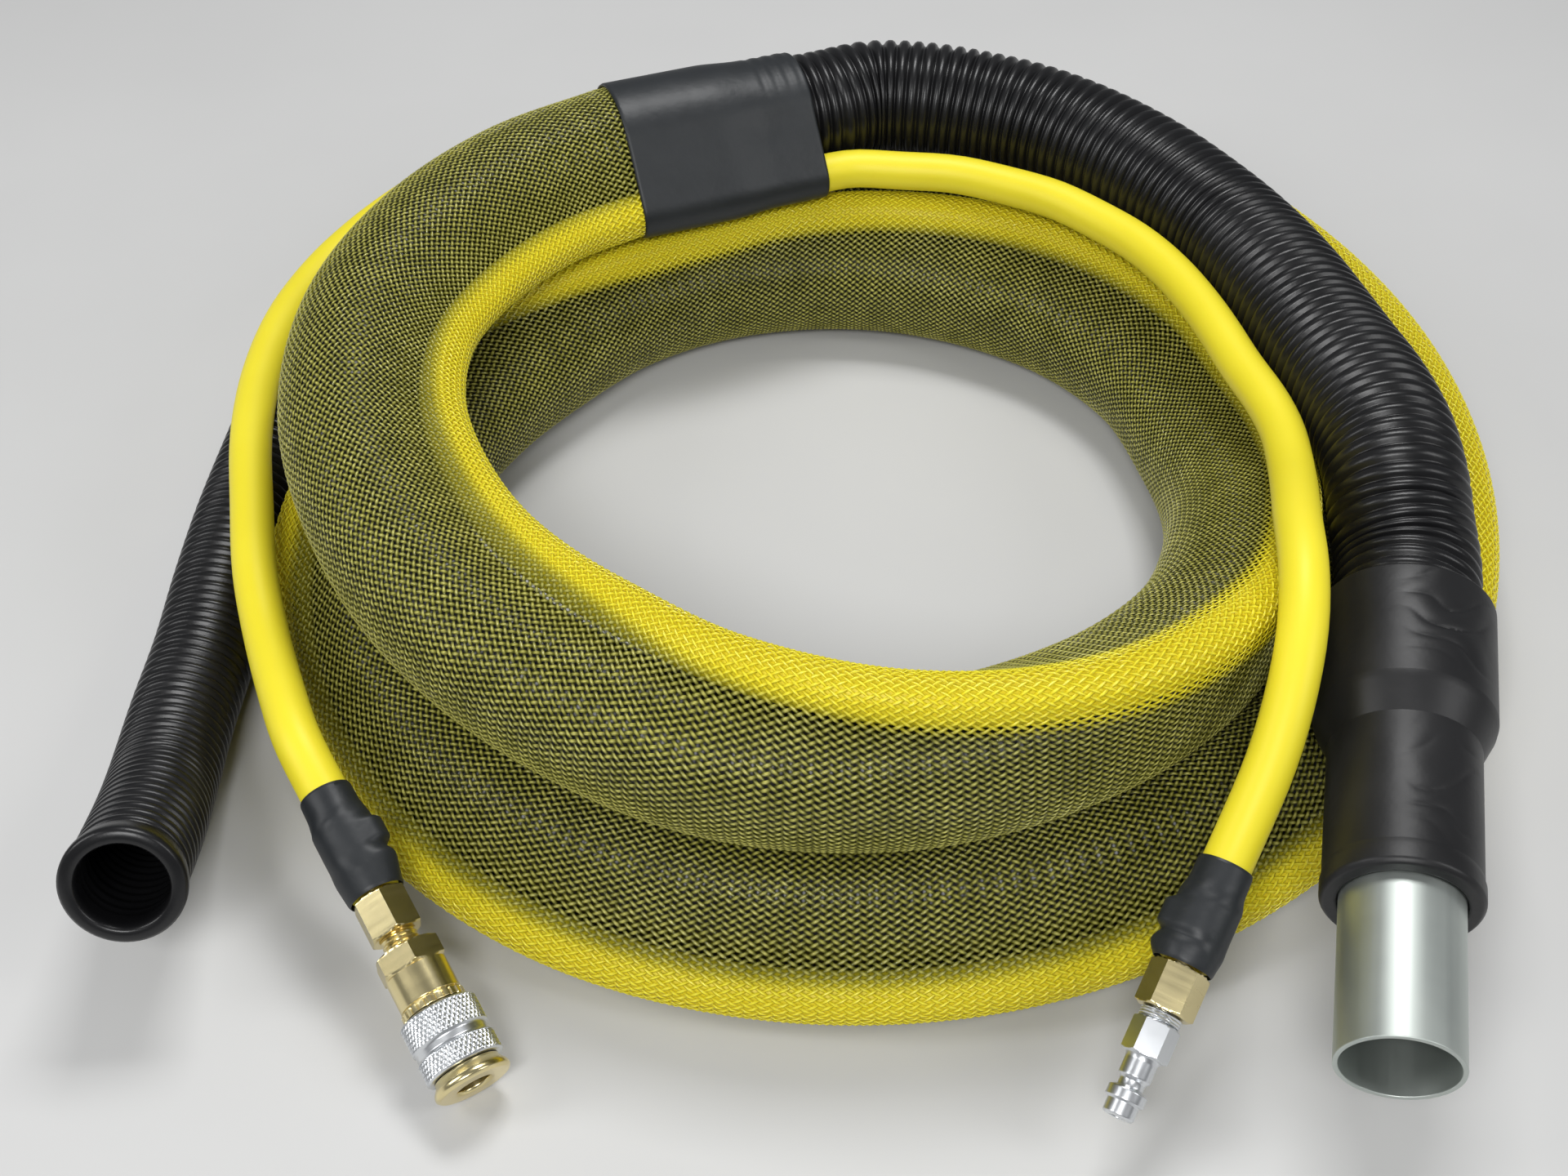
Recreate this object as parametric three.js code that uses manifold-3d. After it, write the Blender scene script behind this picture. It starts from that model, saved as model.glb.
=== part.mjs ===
// A suction hose and an air hose in one braided sleeve, wound in two turns and lying on a floor.
// Millimetres, +Z up, the floor at z = 0, +X to the right and +Y away from the viewer.
import * as THREE from "three";
import { mergeVertices } from "three/addons/utils/BufferGeometryUtils.js";
import Module from "manifold-3d";

const wasm = await Module();
wasm.setup();

const set = new THREE.Group();
const UP = new THREE.Vector3(0, 0, 1);
const GAP = 0.3; // between pieces that touch

// ---------------------------------------------------------------- the coil's route
// The suction hose's centre, every ROUTE_STEP degrees round the coil's own axis: its radius, its height
// above the floor and the side on which the air hose lies (0 outward, 90 on top, 180 inward).
const ROUTE_START = 90;
const ROUTE_STEP = 30;
const ROUTE_RADIUS = [
  151, 145.5, 152, 161, 163.5, 173, 187, 183, 162, 149, 145, 135, 128,
  126, 128, 147, 170, 185, 193, 199, 207, 211, 212, 212, 208, 205,
];
const ROUTE_HEIGHT = [
  86, 86.5, 87, 83.5, 79, 76.5, 77, 74.5, 52, 28, 24.5, 24.5, 24.5,
  24.5, 24.5, 24.5, 24.5, 24.5, 24.5, 24.5, 24.5, 24.5, 24.5, 24.5, 24.5, 24.5,
];
const ROUTE_SIDE = [
  202, 200, 196, 182, 168, 144, 98, 62, 60, 66, 72, 85, 98,
  107, 80, 30, -4, -18, -20, -16, 4, 34, 54, 65, 70, 75,
];
const HOSE_SPACING = 31; // between the centres of the two hoses in the sleeve
const COLLAR_1_DEGREES = [92, 122]; // at the ends of the straight collar on top
const COLLAR_2_DEGREES = [818, 842]; // and of the one under the coil
const COLLAR_SIDE_1 = 200;
const COLLAR_SIDE_2 = 72;
const COIL_STEPS = 40;

function along(values, degrees) {
  const u = (degrees - ROUTE_START) / ROUTE_STEP;
  const i = Math.min(Math.max(Math.floor(u), 0), values.length - 2);
  const f = u - i;
  const at = (k) => values[Math.min(Math.max(k, 0), values.length - 1)];
  const [a, b, c, d] = [at(i - 1), at(i), at(i + 1), at(i + 2)];
  return 0.5 * (2 * b + (c - a) * f + (2 * a - 5 * b + 4 * c - d) * f * f + (3 * b - a - 3 * c + d) * f ** 3);
}

function centre(degrees) {
  const angle = THREE.MathUtils.degToRad(degrees);
  const radius = along(ROUTE_RADIUS, degrees);
  return new THREE.Vector3(radius * Math.cos(angle), radius * Math.sin(angle), along(ROUTE_HEIGHT, degrees));
}

// A station has a centre c, a direction t, and e1 and e2 across it; e1 points at the air hose.
function station(c, t, side) {
  const out = new THREE.Vector3(c.x, c.y, 0).normalize();
  const angle = THREE.MathUtils.degToRad(side);
  const e1 = out.multiplyScalar(Math.cos(angle)).addScaledVector(UP, Math.sin(angle));
  e1.addScaledVector(t, -e1.dot(t)).normalize();
  return { c, t, e1, e2: t.clone().cross(e1) };
}

const beyond = (s, distance) => ({ ...s, c: s.c.clone().addScaledVector(s.t, distance) });

function collarStations([from, to], side) {
  const a = centre(from);
  const b = centre(to);
  const t = b.clone().sub(a).normalize();
  const middle = station(a.clone().add(b).multiplyScalar(0.5), t, side);
  return [a, b].map((c) => ({ ...middle, c }));
}

const [collar1Start, collar1End] = collarStations(COLLAR_1_DEGREES, COLLAR_SIDE_1);
const [collar2Start, collar2End] = collarStations(COLLAR_2_DEGREES, COLLAR_SIDE_2);
const coil = [];
for (let i = 1; i < COIL_STEPS; i += 1) {
  const [from, to] = [COLLAR_1_DEGREES[1], COLLAR_2_DEGREES[0]];
  const degrees = from + ((to - from) * i) / COIL_STEPS;
  const t = centre(degrees + 1).sub(centre(degrees - 1)).normalize();
  coil.push(station(centre(degrees), t, along(ROUTE_SIDE, degrees)));
}

// ---------------------------------------------------------------- pipes and turned pieces
const SIDES = 8;

// The corners of a hose's section: flats face the air hose and away from it.
function ring(s, radius, sides = SIDES, shift = 0) {
  const points = [];
  for (let j = 0; j < sides; j += 1) {
    const a = ((j + 0.5) / sides) * 2 * Math.PI;
    const p = s.c.clone().addScaledVector(s.e1, shift + radius * Math.cos(a));
    points.push(p.addScaledVector(s.e2, radius * Math.sin(a)));
  }
  return points;
}

// A closed pipe, from its outer rings and its bore's rings. With no bore it is a rod.
function pipe(outer, bore = []) {
  const n = outer[0].length;
  const index = [];
  const quad = (a, b, c, d) => index.push(a, b, c, a, c, d);
  const wall = (first, rings, inward) => {
    for (let i = 0; i < rings - 1; i += 1) {
      for (let j = 0; j < n; j += 1) {
        const [a, b] = [first + i * n + j, first + i * n + ((j + 1) % n)];
        if (inward) quad(a, a + n, b + n, b);
        else quad(a, b, b + n, a + n);
      }
    }
  };
  const last = (outer.length - 1) * n;
  const bore0 = outer.length * n;
  const boreLast = bore0 + (bore.length - 1) * n;
  wall(0, outer.length, false);
  if (bore.length > 0) {
    wall(bore0, bore.length, true);
    for (let j = 0; j < n; j += 1) {
      const k = (j + 1) % n;
      quad(j, bore0 + j, bore0 + k, k);
      quad(last + k, boreLast + k, boreLast + j, last + j);
    }
  } else {
    for (let j = 1; j < n - 1; j += 1) index.push(0, j + 1, j, last, last + j, last + j + 1);
  }
  const geometry = new THREE.BufferGeometry();
  const corners = [...outer, ...bore].flat().flatMap((p) => [p.x, p.y, p.z]);
  geometry.setAttribute("position", new THREE.Float32BufferAttribute(corners, 3));
  geometry.setIndex(index);
  geometry.computeVertexNormals();
  return geometry;
}

// A piece turned about its axis, from the radius and the place along the axis of each corner.
function turned(profile, sides = 16) {
  const points = profile.map(([radius, place]) => new THREE.Vector2(radius, place));
  if (profile[0][0] > 0) points.push(points[0].clone());
  return new THREE.LatheGeometry(points, sides);
}

function hexagon(acrossFlats, from, to) {
  const corner = acrossFlats / Math.sqrt(3);
  const hex = new THREE.CylinderGeometry(corner, corner, to - from, 6);
  return hex.translate(0, (from + to) / 2, 0);
}

function solid(geometry) {
  const bare = geometry.clone();
  bare.deleteAttribute("normal");
  bare.deleteAttribute("uv");
  const merged = mergeVertices(bare, 1e-4);
  const vertProperties = new Float32Array(merged.attributes.position.array);
  const triVerts = new Uint32Array(merged.index.array);
  return new wasm.Manifold(new wasm.Mesh({ numProp: 3, vertProperties, triVerts }));
}

function geometryOf(manifold) {
  const mesh = manifold.getMesh();
  const geometry = new THREE.BufferGeometry();
  geometry.setAttribute("position", new THREE.BufferAttribute(mesh.vertProperties, 3));
  geometry.setIndex(new THREE.BufferAttribute(mesh.triVerts, 1));
  geometry.computeVertexNormals();
  return geometry;
}

function add(parent, name, geometry, color, roughness, metalness) {
  const mesh = new THREE.Mesh(geometry, new THREE.MeshStandardMaterial({ color, roughness, metalness }));
  mesh.name = name;
  parent.add(mesh);
  return mesh;
}

// A smooth curve through points, with its stations at equal steps; e1 is carried along without twist.
function carried(points, e1, steps) {
  const curve = new THREE.CatmullRomCurve3(points, false, "centripetal");
  const stations = [];
  let across = e1.clone();
  for (let i = 0; i <= steps; i += 1) {
    const t = curve.getTangentAt(i / steps);
    across = across.clone().addScaledVector(t, -across.dot(t)).normalize();
    stations.push({ c: curve.getPointAt(i / steps), t, e1: across, e2: t.clone().cross(across) });
  }
  return { stations, length: curve.getLength() };
}

// ---------------------------------------------------------------- braided sleeve
// Drawn over both hoses like a skin: its section is the outline round two circles.
const SLEEVE_WALL = 0.8;
const SUCTION_RADIUS = 23;
const AIR_RADIUS = 7.5;
const SLEEVE_CLEARANCE = 0.55;
const SLEEVE_IN_COLLAR = 36;
const FLOOR_CUT = 0.65; // the lowest turn is cut flat here

function skin(s, extra, hoseRadius = SUCTION_RADIUS) {
  const big = ring(s, hoseRadius + extra).slice(1, 7);
  const small = ring(s, AIR_RADIUS + extra, SIDES, HOSE_SPACING);
  const points = [...big, small[6], small[7], small[0], small[1]];
  for (const p of points) p.z = Math.max(p.z, FLOOR_CUT);
  return points;
}

const sleeveStations = [
  beyond(collar1End, -SLEEVE_IN_COLLAR),
  collar1End,
  ...coil,
  collar2Start,
  beyond(collar2Start, SLEEVE_IN_COLLAR),
];
const sleeve = pipe(
  sleeveStations.map((s) => skin(s, SLEEVE_CLEARANCE + SLEEVE_WALL)),
  sleeveStations.map((s) => skin(s, SLEEVE_CLEARANCE)),
);
add(set, "braided_sleeve", sleeve, 0xc9b82a, 0.6, 0);

// Least gap between one turn of the sleeve and another, measured on circles from one hose to the other.
function leastGap() {
  const circles = sleeveStations.flatMap((s, i) => [0, 0.25, 0.5, 0.75, 1].map((f) => ({
    i,
    c: s.c.clone().addScaledVector(s.e1, HOSE_SPACING * f),
    r: SLEEVE_CLEARANCE + SLEEVE_WALL + SUCTION_RADIUS + (AIR_RADIUS - SUCTION_RADIUS) * f,
  })));
  let least = Infinity;
  for (const a of circles) {
    for (const b of circles) {
      if (b.i - a.i > 6) least = Math.min(least, a.c.distanceTo(b.c) - a.r - b.r);
    }
  }
  return least;
}
console.log(`least gap of the coil to itself: ${leastGap().toFixed(2)} mm`);

// ---------------------------------------------------------------- heat-shrink collars over the sleeve's ends
const COLLAR_WALL = 1.2;
const COLLAR_STEP = 10; // where it closes from the sleeve down to the bare hoses
const TOOL_RADIUS = 17.5;

// Its places along the collar, each with the radius over the hose; it is given from its sleeve end.
function collar(sleeveEnd, inward, hoseRadius) {
  const length = inward ? collar1Start.c.distanceTo(collar1End.c) : collar2Start.c.distanceTo(collar2End.c);
  const edge = SLEEVE_IN_COLLAR + GAP + 1;
  const sleeved = SLEEVE_CLEARANCE + SLEEVE_WALL + GAP + 0.1;
  const bare = GAP + 0.2;
  const places = [
    [0, sleeved, SUCTION_RADIUS],
    [edge, sleeved, SUCTION_RADIUS],
    [edge + COLLAR_STEP, bare, hoseRadius],
    [length, bare, hoseRadius],
  ];
  if (inward) places.reverse();
  const side = inward ? -1 : 1;
  const rings = (extra) => places.map(([place, size, hose]) => (
    skin(beyond(sleeveEnd, side * place), size + extra, hose)
  ));
  return pipe(rings(COLLAR_WALL), rings(0));
}

add(set, "vacuum_end_collar", collar(collar1End, true, SUCTION_RADIUS), 0x1c1c1d, 0.7, 0);
add(set, "tool_end_collar", collar(collar2Start, false, TOOL_RADIUS), 0x1c1c1d, 0.7, 0);

// ---------------------------------------------------------------- suction hose
// Corrugated: one ridge and one valley a rib. It runs from the cuff through the whole sleeve.
const SUCTION_BORE = 19;
const SUCTION_VALLEY = 20.9;
const SUCTION_PITCH = 5.1;
const CUFF_FACE = new THREE.Vector3(184.8, -124.2, 76.5); // middle of the cuff's hose end
const TUBE_END = new THREE.Vector3(153.6, -276.8, 61.1); // middle of the steel tube's open end
const HOSE_IN_CUFF = 40;
const HOSE_IN_COLLAR = 36;
const cuffAxis = TUBE_END.clone().sub(CUFF_FACE).normalize();
const onCuffAxis = (place) => CUFF_FACE.clone().addScaledVector(cuffAxis, place);

const backwards = (stations) => stations.map((s) => (
  { c: s.c, t: s.t.clone().negate(), e1: s.e1, e2: s.e2.clone().negate() }
)).reverse();

function ribbed(points, e1, pitch) {
  const ribs = Math.floor(new THREE.CatmullRomCurve3(points, false, "centripetal").getLength() / pitch);
  return { ribs, ...carried(points, e1, 2 * ribs) };
}

const vacuumTail = ribbed([
  collar1Start.c,
  beyond(collar1Start, -12).c,
  new THREE.Vector3(26, 162.3, 86),
  new THREE.Vector3(47.5, 161, 86),
  new THREE.Vector3(68, 156.5, 85),
  new THREE.Vector3(88, 148.5, 84.5),
  new THREE.Vector3(106, 137, 84),
  new THREE.Vector3(122, 123, 83.5),
  new THREE.Vector3(136, 107.5, 83),
  new THREE.Vector3(148, 91.5, 82),
  new THREE.Vector3(159, 73.5, 81.5),
  new THREE.Vector3(167.5, 52.5, 82.5),
  new THREE.Vector3(174, 30.5, 84),
  new THREE.Vector3(179, 9.5, 85),
  new THREE.Vector3(183.2, -11, 86.5),
  new THREE.Vector3(187.5, -33, 88.5),
  new THREE.Vector3(190, -55, 89),
  new THREE.Vector3(190, -75, 87),
  new THREE.Vector3(189.3, -90, 82.5),
  onCuffAxis(-20),
  onCuffAxis(0),
  onCuffAxis(HOSE_IN_CUFF / 2),
  onCuffAxis(HOSE_IN_CUFF),
], collar1Start.e1, SUCTION_PITCH);
const vacuumRibs = backwards(vacuumTail.stations);
const insideSleeve = [collar1End, ...coil, collar2Start, beyond(collar2Start, HOSE_IN_COLLAR)];
const suctionHose = pipe(
  [
    ...vacuumRibs.map((s, i) => ring(s, i % 2 === 0 ? SUCTION_RADIUS : SUCTION_VALLEY)),
    ...insideSleeve.map((s) => ring(s, SUCTION_RADIUS)),
  ],
  [
    ...vacuumRibs.filter((s, i) => i % 10 === 0 || s === vacuumRibs.at(-1)).map((s) => ring(s, SUCTION_BORE)),
    ...insideSleeve.map((s) => ring(s, SUCTION_BORE)),
  ],
);
add(set, "suction_hose", suctionHose, 0x0d0d0e, 0.3, 0);
console.log(`suction hose: ${vacuumTail.ribs} ribs in ${vacuumTail.length.toFixed(0)} mm outside the sleeve`);

// ---------------------------------------------------------------- reducer between the two suction hoses
const REDUCER_SPIGOT = 22;
const REDUCER_FLANGE = 4;
const REDUCER_BORE = 11.5;
const SPIGOT_CLEARANCE = 0.4;
const TOOL_BORE = 13.5;
const flange = HOSE_IN_COLLAR + GAP;
const reducerPlaces = [
  [flange - REDUCER_SPIGOT, SUCTION_BORE - SPIGOT_CLEARANCE],
  [flange, SUCTION_BORE - SPIGOT_CLEARANCE],
  [flange, SUCTION_BORE + 0.5],
  [flange + REDUCER_FLANGE, SUCTION_BORE + 0.5],
  [flange + REDUCER_FLANGE, TOOL_BORE - SPIGOT_CLEARANCE],
  [flange + REDUCER_FLANGE + REDUCER_SPIGOT, TOOL_BORE - SPIGOT_CLEARANCE],
];
const reducer = pipe(
  reducerPlaces.map(([place, radius]) => ring(beyond(collar2Start, place), radius)),
  [reducerPlaces[0], reducerPlaces[5]].map(([place]) => ring(beyond(collar2Start, place), REDUCER_BORE)),
);
add(set, "hose_reducer", reducer, 0x2a2a2c, 0.5, 0);

// ---------------------------------------------------------------- tool hose, thinner
const TOOL_VALLEY = 15.9;
const TOOL_PITCH = 4.4;
const TOOL_RIM = 10; // smooth rim at the open mouth
const toolStart = beyond(collar2Start, flange + REDUCER_FLANGE + GAP);
const toolTail = ribbed([
  collar2End.c,
  beyond(collar2End, 28).c.setZ(23),
  new THREE.Vector3(-170, 139, 19.5),
  new THREE.Vector3(-191, 113, 18.4),
  new THREE.Vector3(-199, 86, 18.4),
  new THREE.Vector3(-204, 55, 18.4),
  new THREE.Vector3(-207, 21, 18.4),
  new THREE.Vector3(-210, -18, 18.4),
  new THREE.Vector3(-211, -52, 18.4),
  new THREE.Vector3(-211, -85, 18.4),
  new THREE.Vector3(-212, -116, 19.5),
  new THREE.Vector3(-210, -151, 26),
  new THREE.Vector3(-206, -176, 38),
  new THREE.Vector3(-203, -204, 51),
], toolStart.e1, TOOL_PITCH);
const mouth = toolTail.stations.at(-1);
const toolRibs = toolTail.stations;
const toolHose = pipe(
  [
    ring(toolStart, TOOL_RADIUS),
    ...toolRibs.map((s, i) => ring(s, i % 2 === 0 ? TOOL_RADIUS : TOOL_VALLEY)),
    ring(beyond(mouth, TOOL_RIM), TOOL_RADIUS),
  ],
  [
    ring(toolStart, TOOL_BORE),
    ...toolRibs.filter((s, i) => i % 10 === 0).map((s) => ring(s, TOOL_BORE)),
    ring(beyond(mouth, TOOL_RIM), TOOL_BORE),
  ],
);
add(set, "tool_hose", toolHose, 0x0d0d0e, 0.3, 0);
console.log(`tool hose: ${toolTail.ribs} ribs in ${toolTail.length.toFixed(0)} mm`);

// ---------------------------------------------------------------- air hose
// One hose from the plug through the sleeve to the coupler. Each end runs straight into its fitting.
const AIR_BORE = 4.7;
const PLUG_SHRINK = {
  from: new THREE.Vector3(118, -209, 60),
  to: new THREE.Vector3(84, -269, 26),
  length: 32,
};
const COUPLER_SHRINK = {
  from: new THREE.Vector3(-151.5, -170, 45),
  to: new THREE.Vector3(-100, -252, 12),
  length: 37,
};
for (const end of [PLUG_SHRINK, COUPLER_SHRINK]) {
  end.axis = end.to.clone().sub(end.from).normalize();
  end.at = (place) => end.from.clone().addScaledVector(end.axis, place);
}
const HOSE_SHORT_OF_SHRINK = 1; // the hose stops this far inside the heat-shrink
const airStart = (s) => s.c.clone().addScaledVector(s.e1, HOSE_SPACING);
const plugTail = carried([
  airStart(collar1Start),
  airStart(beyond(collar1Start, -12)),
  new THREE.Vector3(37, 125.5, 75.5),
  new THREE.Vector3(58, 122.5, 76),
  new THREE.Vector3(78, 114.5, 76),
  new THREE.Vector3(96, 103.5, 77),
  new THREE.Vector3(111, 89, 77.5),
  new THREE.Vector3(124, 72, 79),
  new THREE.Vector3(134, 53, 80),
  new THREE.Vector3(141, 33.5, 81),
  new THREE.Vector3(146, 13, 82.5),
  new THREE.Vector3(150.5, -8.5, 83.5),
  new THREE.Vector3(155.3, -29, 85.5),
  new THREE.Vector3(157.5, -47, 87),
  new THREE.Vector3(155.5, -71, 91.7),
  new THREE.Vector3(149, -108.5, 103),
  new THREE.Vector3(146, -132.7, 106.2),
  new THREE.Vector3(143, -152.5, 101.4),
  new THREE.Vector3(138.3, -169.7, 91.9),
  new THREE.Vector3(131.8, -185.7, 79.4),
  PLUG_SHRINK.at(0),
  PLUG_SHRINK.at(PLUG_SHRINK.length / 2),
  PLUG_SHRINK.at(PLUG_SHRINK.length - HOSE_SHORT_OF_SHRINK),
], collar1Start.e1, 17);
const couplerTail = carried([
  airStart(collar2End),
  airStart(beyond(collar2End, 20)),
  new THREE.Vector3(-170, 139, 49),
  new THREE.Vector3(-190, 111, 46),
  new THREE.Vector3(-200, 85, 46),
  new THREE.Vector3(-205, 60, 47),
  new THREE.Vector3(-207, 28, 47),
  new THREE.Vector3(-204, -6, 48),
  new THREE.Vector3(-197, -42, 48.5),
  new THREE.Vector3(-190, -75, 48),
  new THREE.Vector3(-181, -104, 46.5),
  new THREE.Vector3(-169.5, -135, 50),
  COUPLER_SHRINK.at(-20),
  COUPLER_SHRINK.at(0),
  COUPLER_SHRINK.at(COUPLER_SHRINK.length / 2),
  COUPLER_SHRINK.at(COUPLER_SHRINK.length - HOSE_SHORT_OF_SHRINK),
], collar2End.e1, 14);
const airRings = (radius) => [
  ...backwards(plugTail.stations).map((s) => ring(s, radius)),
  ...[collar1End, ...coil, collar2Start].map((s) => ring(s, radius, SIDES, HOSE_SPACING)),
  ...couplerTail.stations.map((s) => ring(s, radius)),
];
add(set, "air_hose", pipe(airRings(AIR_RADIUS), airRings(AIR_BORE)), 0xe3d21c, 0.35, 0);
console.log(`air hose: ${plugTail.length.toFixed(0)} mm at the plug`);
console.log(`and ${couplerTail.length.toFixed(0)} mm at the coupler`);

// ---------------------------------------------------------------- rubber cuff and steel tube
// The cuff is stepped: wide over the hose, narrow over the tube. Both are turned about the cuff's axis.
const SMOOTH = 24;
const CUFF_LENGTH = 106;
const CUFF_WIDE = 27;
const CUFF_WIDE_LENGTH = 43;
const CUFF_CHAMFER = 8;
const CUFF_NARROW = 22.5;
const CUFF_LIP = 1.5;
const TUBE_RADIUS = 17.5;
const TUBE_BORE = 16;
const TUBE_IN_CUFF = 56;
const TUBE_LENGTH = 106.5;
const HOSE_BORE_IN_CUFF = 23.6;

function onAxis(origin, axis) {
  const group = new THREE.Group();
  group.position.copy(origin);
  group.quaternion.setFromUnitVectors(new THREE.Vector3(0, 1, 0), axis);
  set.add(group);
  return group;
}

const cuffGroup = onAxis(CUFF_FACE, cuffAxis);
const cuff = turned([
  [HOSE_BORE_IN_CUFF, 0],
  [CUFF_WIDE - CUFF_LIP, 0],
  [CUFF_WIDE, CUFF_LIP],
  [CUFF_WIDE, CUFF_WIDE_LENGTH],
  [CUFF_NARROW, CUFF_WIDE_LENGTH + CUFF_CHAMFER],
  [CUFF_NARROW, CUFF_LENGTH - CUFF_LIP],
  [CUFF_NARROW - CUFF_LIP, CUFF_LENGTH],
  [TUBE_RADIUS + GAP, CUFF_LENGTH],
  [TUBE_RADIUS + GAP, CUFF_LENGTH - TUBE_IN_CUFF - GAP],
  [TUBE_BORE, CUFF_LENGTH - TUBE_IN_CUFF - GAP],
  [TUBE_BORE, HOSE_IN_CUFF + GAP],
  [HOSE_BORE_IN_CUFF, HOSE_IN_CUFF + GAP],
], SMOOTH);
add(cuffGroup, "rubber_cuff", cuff, 0x151516, 0.45, 0);

const tubeFrom = CUFF_LENGTH - TUBE_IN_CUFF;
const tube = turned([
  [TUBE_BORE, tubeFrom],
  [TUBE_RADIUS, tubeFrom],
  [TUBE_RADIUS, tubeFrom + TUBE_LENGTH - 0.4],
  [TUBE_RADIUS - 0.4, tubeFrom + TUBE_LENGTH],
  [TUBE_BORE, tubeFrom + TUBE_LENGTH],
], SMOOTH);
add(cuffGroup, "steel_tube", tube, 0xb9bcc0, 0.22, 1);

// ---------------------------------------------------------------- the air hose's two ends
// Each has a brass hose tail whose stem fills the hose, an ear clamp on the hose and heat-shrink over both.
const BRASS = [0xb58a3c, 0.3, 1];
const PLATED = [0xc3c4c2, 0.22, 1];
const SHRINK_NARROW = 8.6;
const SHRINK_WIDE = 9.8;
const SHRINK_WALL = 0.5;
const STEM_RADIUS = 4;
const STEM_LENGTH = 26;
const AIRWAY = 2.5;
const TAIL_HEX = 15.4; // across flats
const CLAMP_AT = 16;
const CLAMP_WIDTH = 6;
const CLAMP_RADIUS = 8;
const EAR_REACH = 10.8;
const EAR_TURN = -Math.PI / 2; // side of the hose that the ear is on

function rod(radius, from, to, sides = 16) {
  return solid(turned([[0, from], [radius, from], [radius, to], [0, to]], sides));
}

function ear(from, to, halfWidth, reach) {
  const block = new THREE.BoxGeometry(reach - CLAMP_RADIUS, to - from, 2 * halfWidth);
  return solid(block.translate((reach + CLAMP_RADIUS) / 2, (from + to) / 2, 0).rotateY(EAR_TURN));
}

function heatShrink(length) {
  const shell = (wall) => solid(turned([
    [0, wall > 0 ? 0 : -1],
    [SHRINK_NARROW - SHRINK_WALL + wall, wall > 0 ? 0 : -1],
    [SHRINK_NARROW - SHRINK_WALL + wall, 9],
    [SHRINK_WIDE - SHRINK_WALL + wall, 13],
    [SHRINK_WIDE - SHRINK_WALL + wall, wall > 0 ? length : length + 1],
    [0, wall > 0 ? length : length + 1],
  ]));
  const lump = ear(CLAMP_AT - 1, CLAMP_AT + CLAMP_WIDTH + 1, 3.4, EAR_REACH + GAP + SHRINK_WALL);
  const room = ear(CLAMP_AT - 0.4, CLAMP_AT + CLAMP_WIDTH + 0.4, 2.8, EAR_REACH + GAP);
  return geometryOf(shell(SHRINK_WALL).add(lump).subtract(shell(0)).subtract(room));
}

function earClamp() {
  const band = rod(CLAMP_RADIUS + 0.65, CLAMP_AT, CLAMP_AT + CLAMP_WIDTH);
  const block = ear(CLAMP_AT + 0.3, CLAMP_AT + CLAMP_WIDTH - 0.3, 2.3, EAR_REACH);
  return geometryOf(band.add(block).subtract(rod(CLAMP_RADIUS, CLAMP_AT - 1, CLAMP_AT + CLAMP_WIDTH + 1)));
}

function hoseTail(shrink, hexLength, front) {
  const hexFrom = shrink + GAP;
  const hex = solid(hexagon(TAIL_HEX, hexFrom, hexFrom + hexLength));
  const body = rod(STEM_RADIUS, shrink - STEM_LENGTH, hexFrom + 1).add(hex);
  return geometryOf(front(body, hexFrom + hexLength).subtract(rod(AIRWAY, 0, shrink + 40, 8)));
}

// Plug: its thread is screwed into the hose tail, then a hexagon, a neck, a ring and the nose.
const plugGroup = onAxis(PLUG_SHRINK.from, PLUG_SHRINK.axis);
const PLUG_TAIL_HEX_LENGTH = 14;
const PLUG_THREAD = 4.9;
const THREAD_DEPTH = 5;
const plugTailEnd = PLUG_SHRINK.length + GAP + PLUG_TAIL_HEX_LENGTH;
add(plugGroup, "plug_heat_shrink", heatShrink(PLUG_SHRINK.length), 0x202021, 0.75, 0);
add(plugGroup, "plug_ear_clamp", earClamp(), ...PLATED);
const plugHoseTail = hoseTail(
  PLUG_SHRINK.length,
  PLUG_TAIL_HEX_LENGTH,
  (body, end) => body.subtract(rod(PLUG_THREAD + GAP + 0.1, end - THREAD_DEPTH - GAP, end + 1)),
);
add(plugGroup, "plug_hose_tail", plugHoseTail, ...BRASS);

const PLUG_HEX = 14;
const PLUG_NECK = 4.8;
const PLUG_RING = 5.8;
const PLUG_NOSE = 4.7;
const plugFrom = plugTailEnd - THREAD_DEPTH;
const plugHexFrom = plugTailEnd + 3.2;
const plugHexTo = plugHexFrom + 10.5;
const plugNose = solid(turned([
  [0, plugFrom],
  [PLUG_THREAD - 0.5, plugFrom],
  [PLUG_THREAD, plugFrom + 0.5],
  [PLUG_THREAD, plugHexFrom + 1],
  [PLUG_NECK, plugHexFrom + 1],
  [PLUG_NECK, plugHexTo + 6.5],
  [PLUG_NECK - 1, plugHexTo + 7.5],
  [PLUG_NECK - 1, plugHexTo + 9.5],
  [PLUG_RING, plugHexTo + 10.5],
  [PLUG_RING, plugHexTo + 13.5],
  [PLUG_NOSE, plugHexTo + 14],
  [PLUG_NOSE, plugHexTo + 17.8],
  [PLUG_NOSE - 0.6, plugHexTo + 18.4],
  [0, plugHexTo + 18.4],
], SMOOTH));
const plug = plugNose.add(solid(hexagon(PLUG_HEX, plugHexFrom, plugHexTo))).subtract(rod(AIRWAY, 0, 90, 8));
add(plugGroup, "air_plug", geometryOf(plug), ...PLATED);

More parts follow.
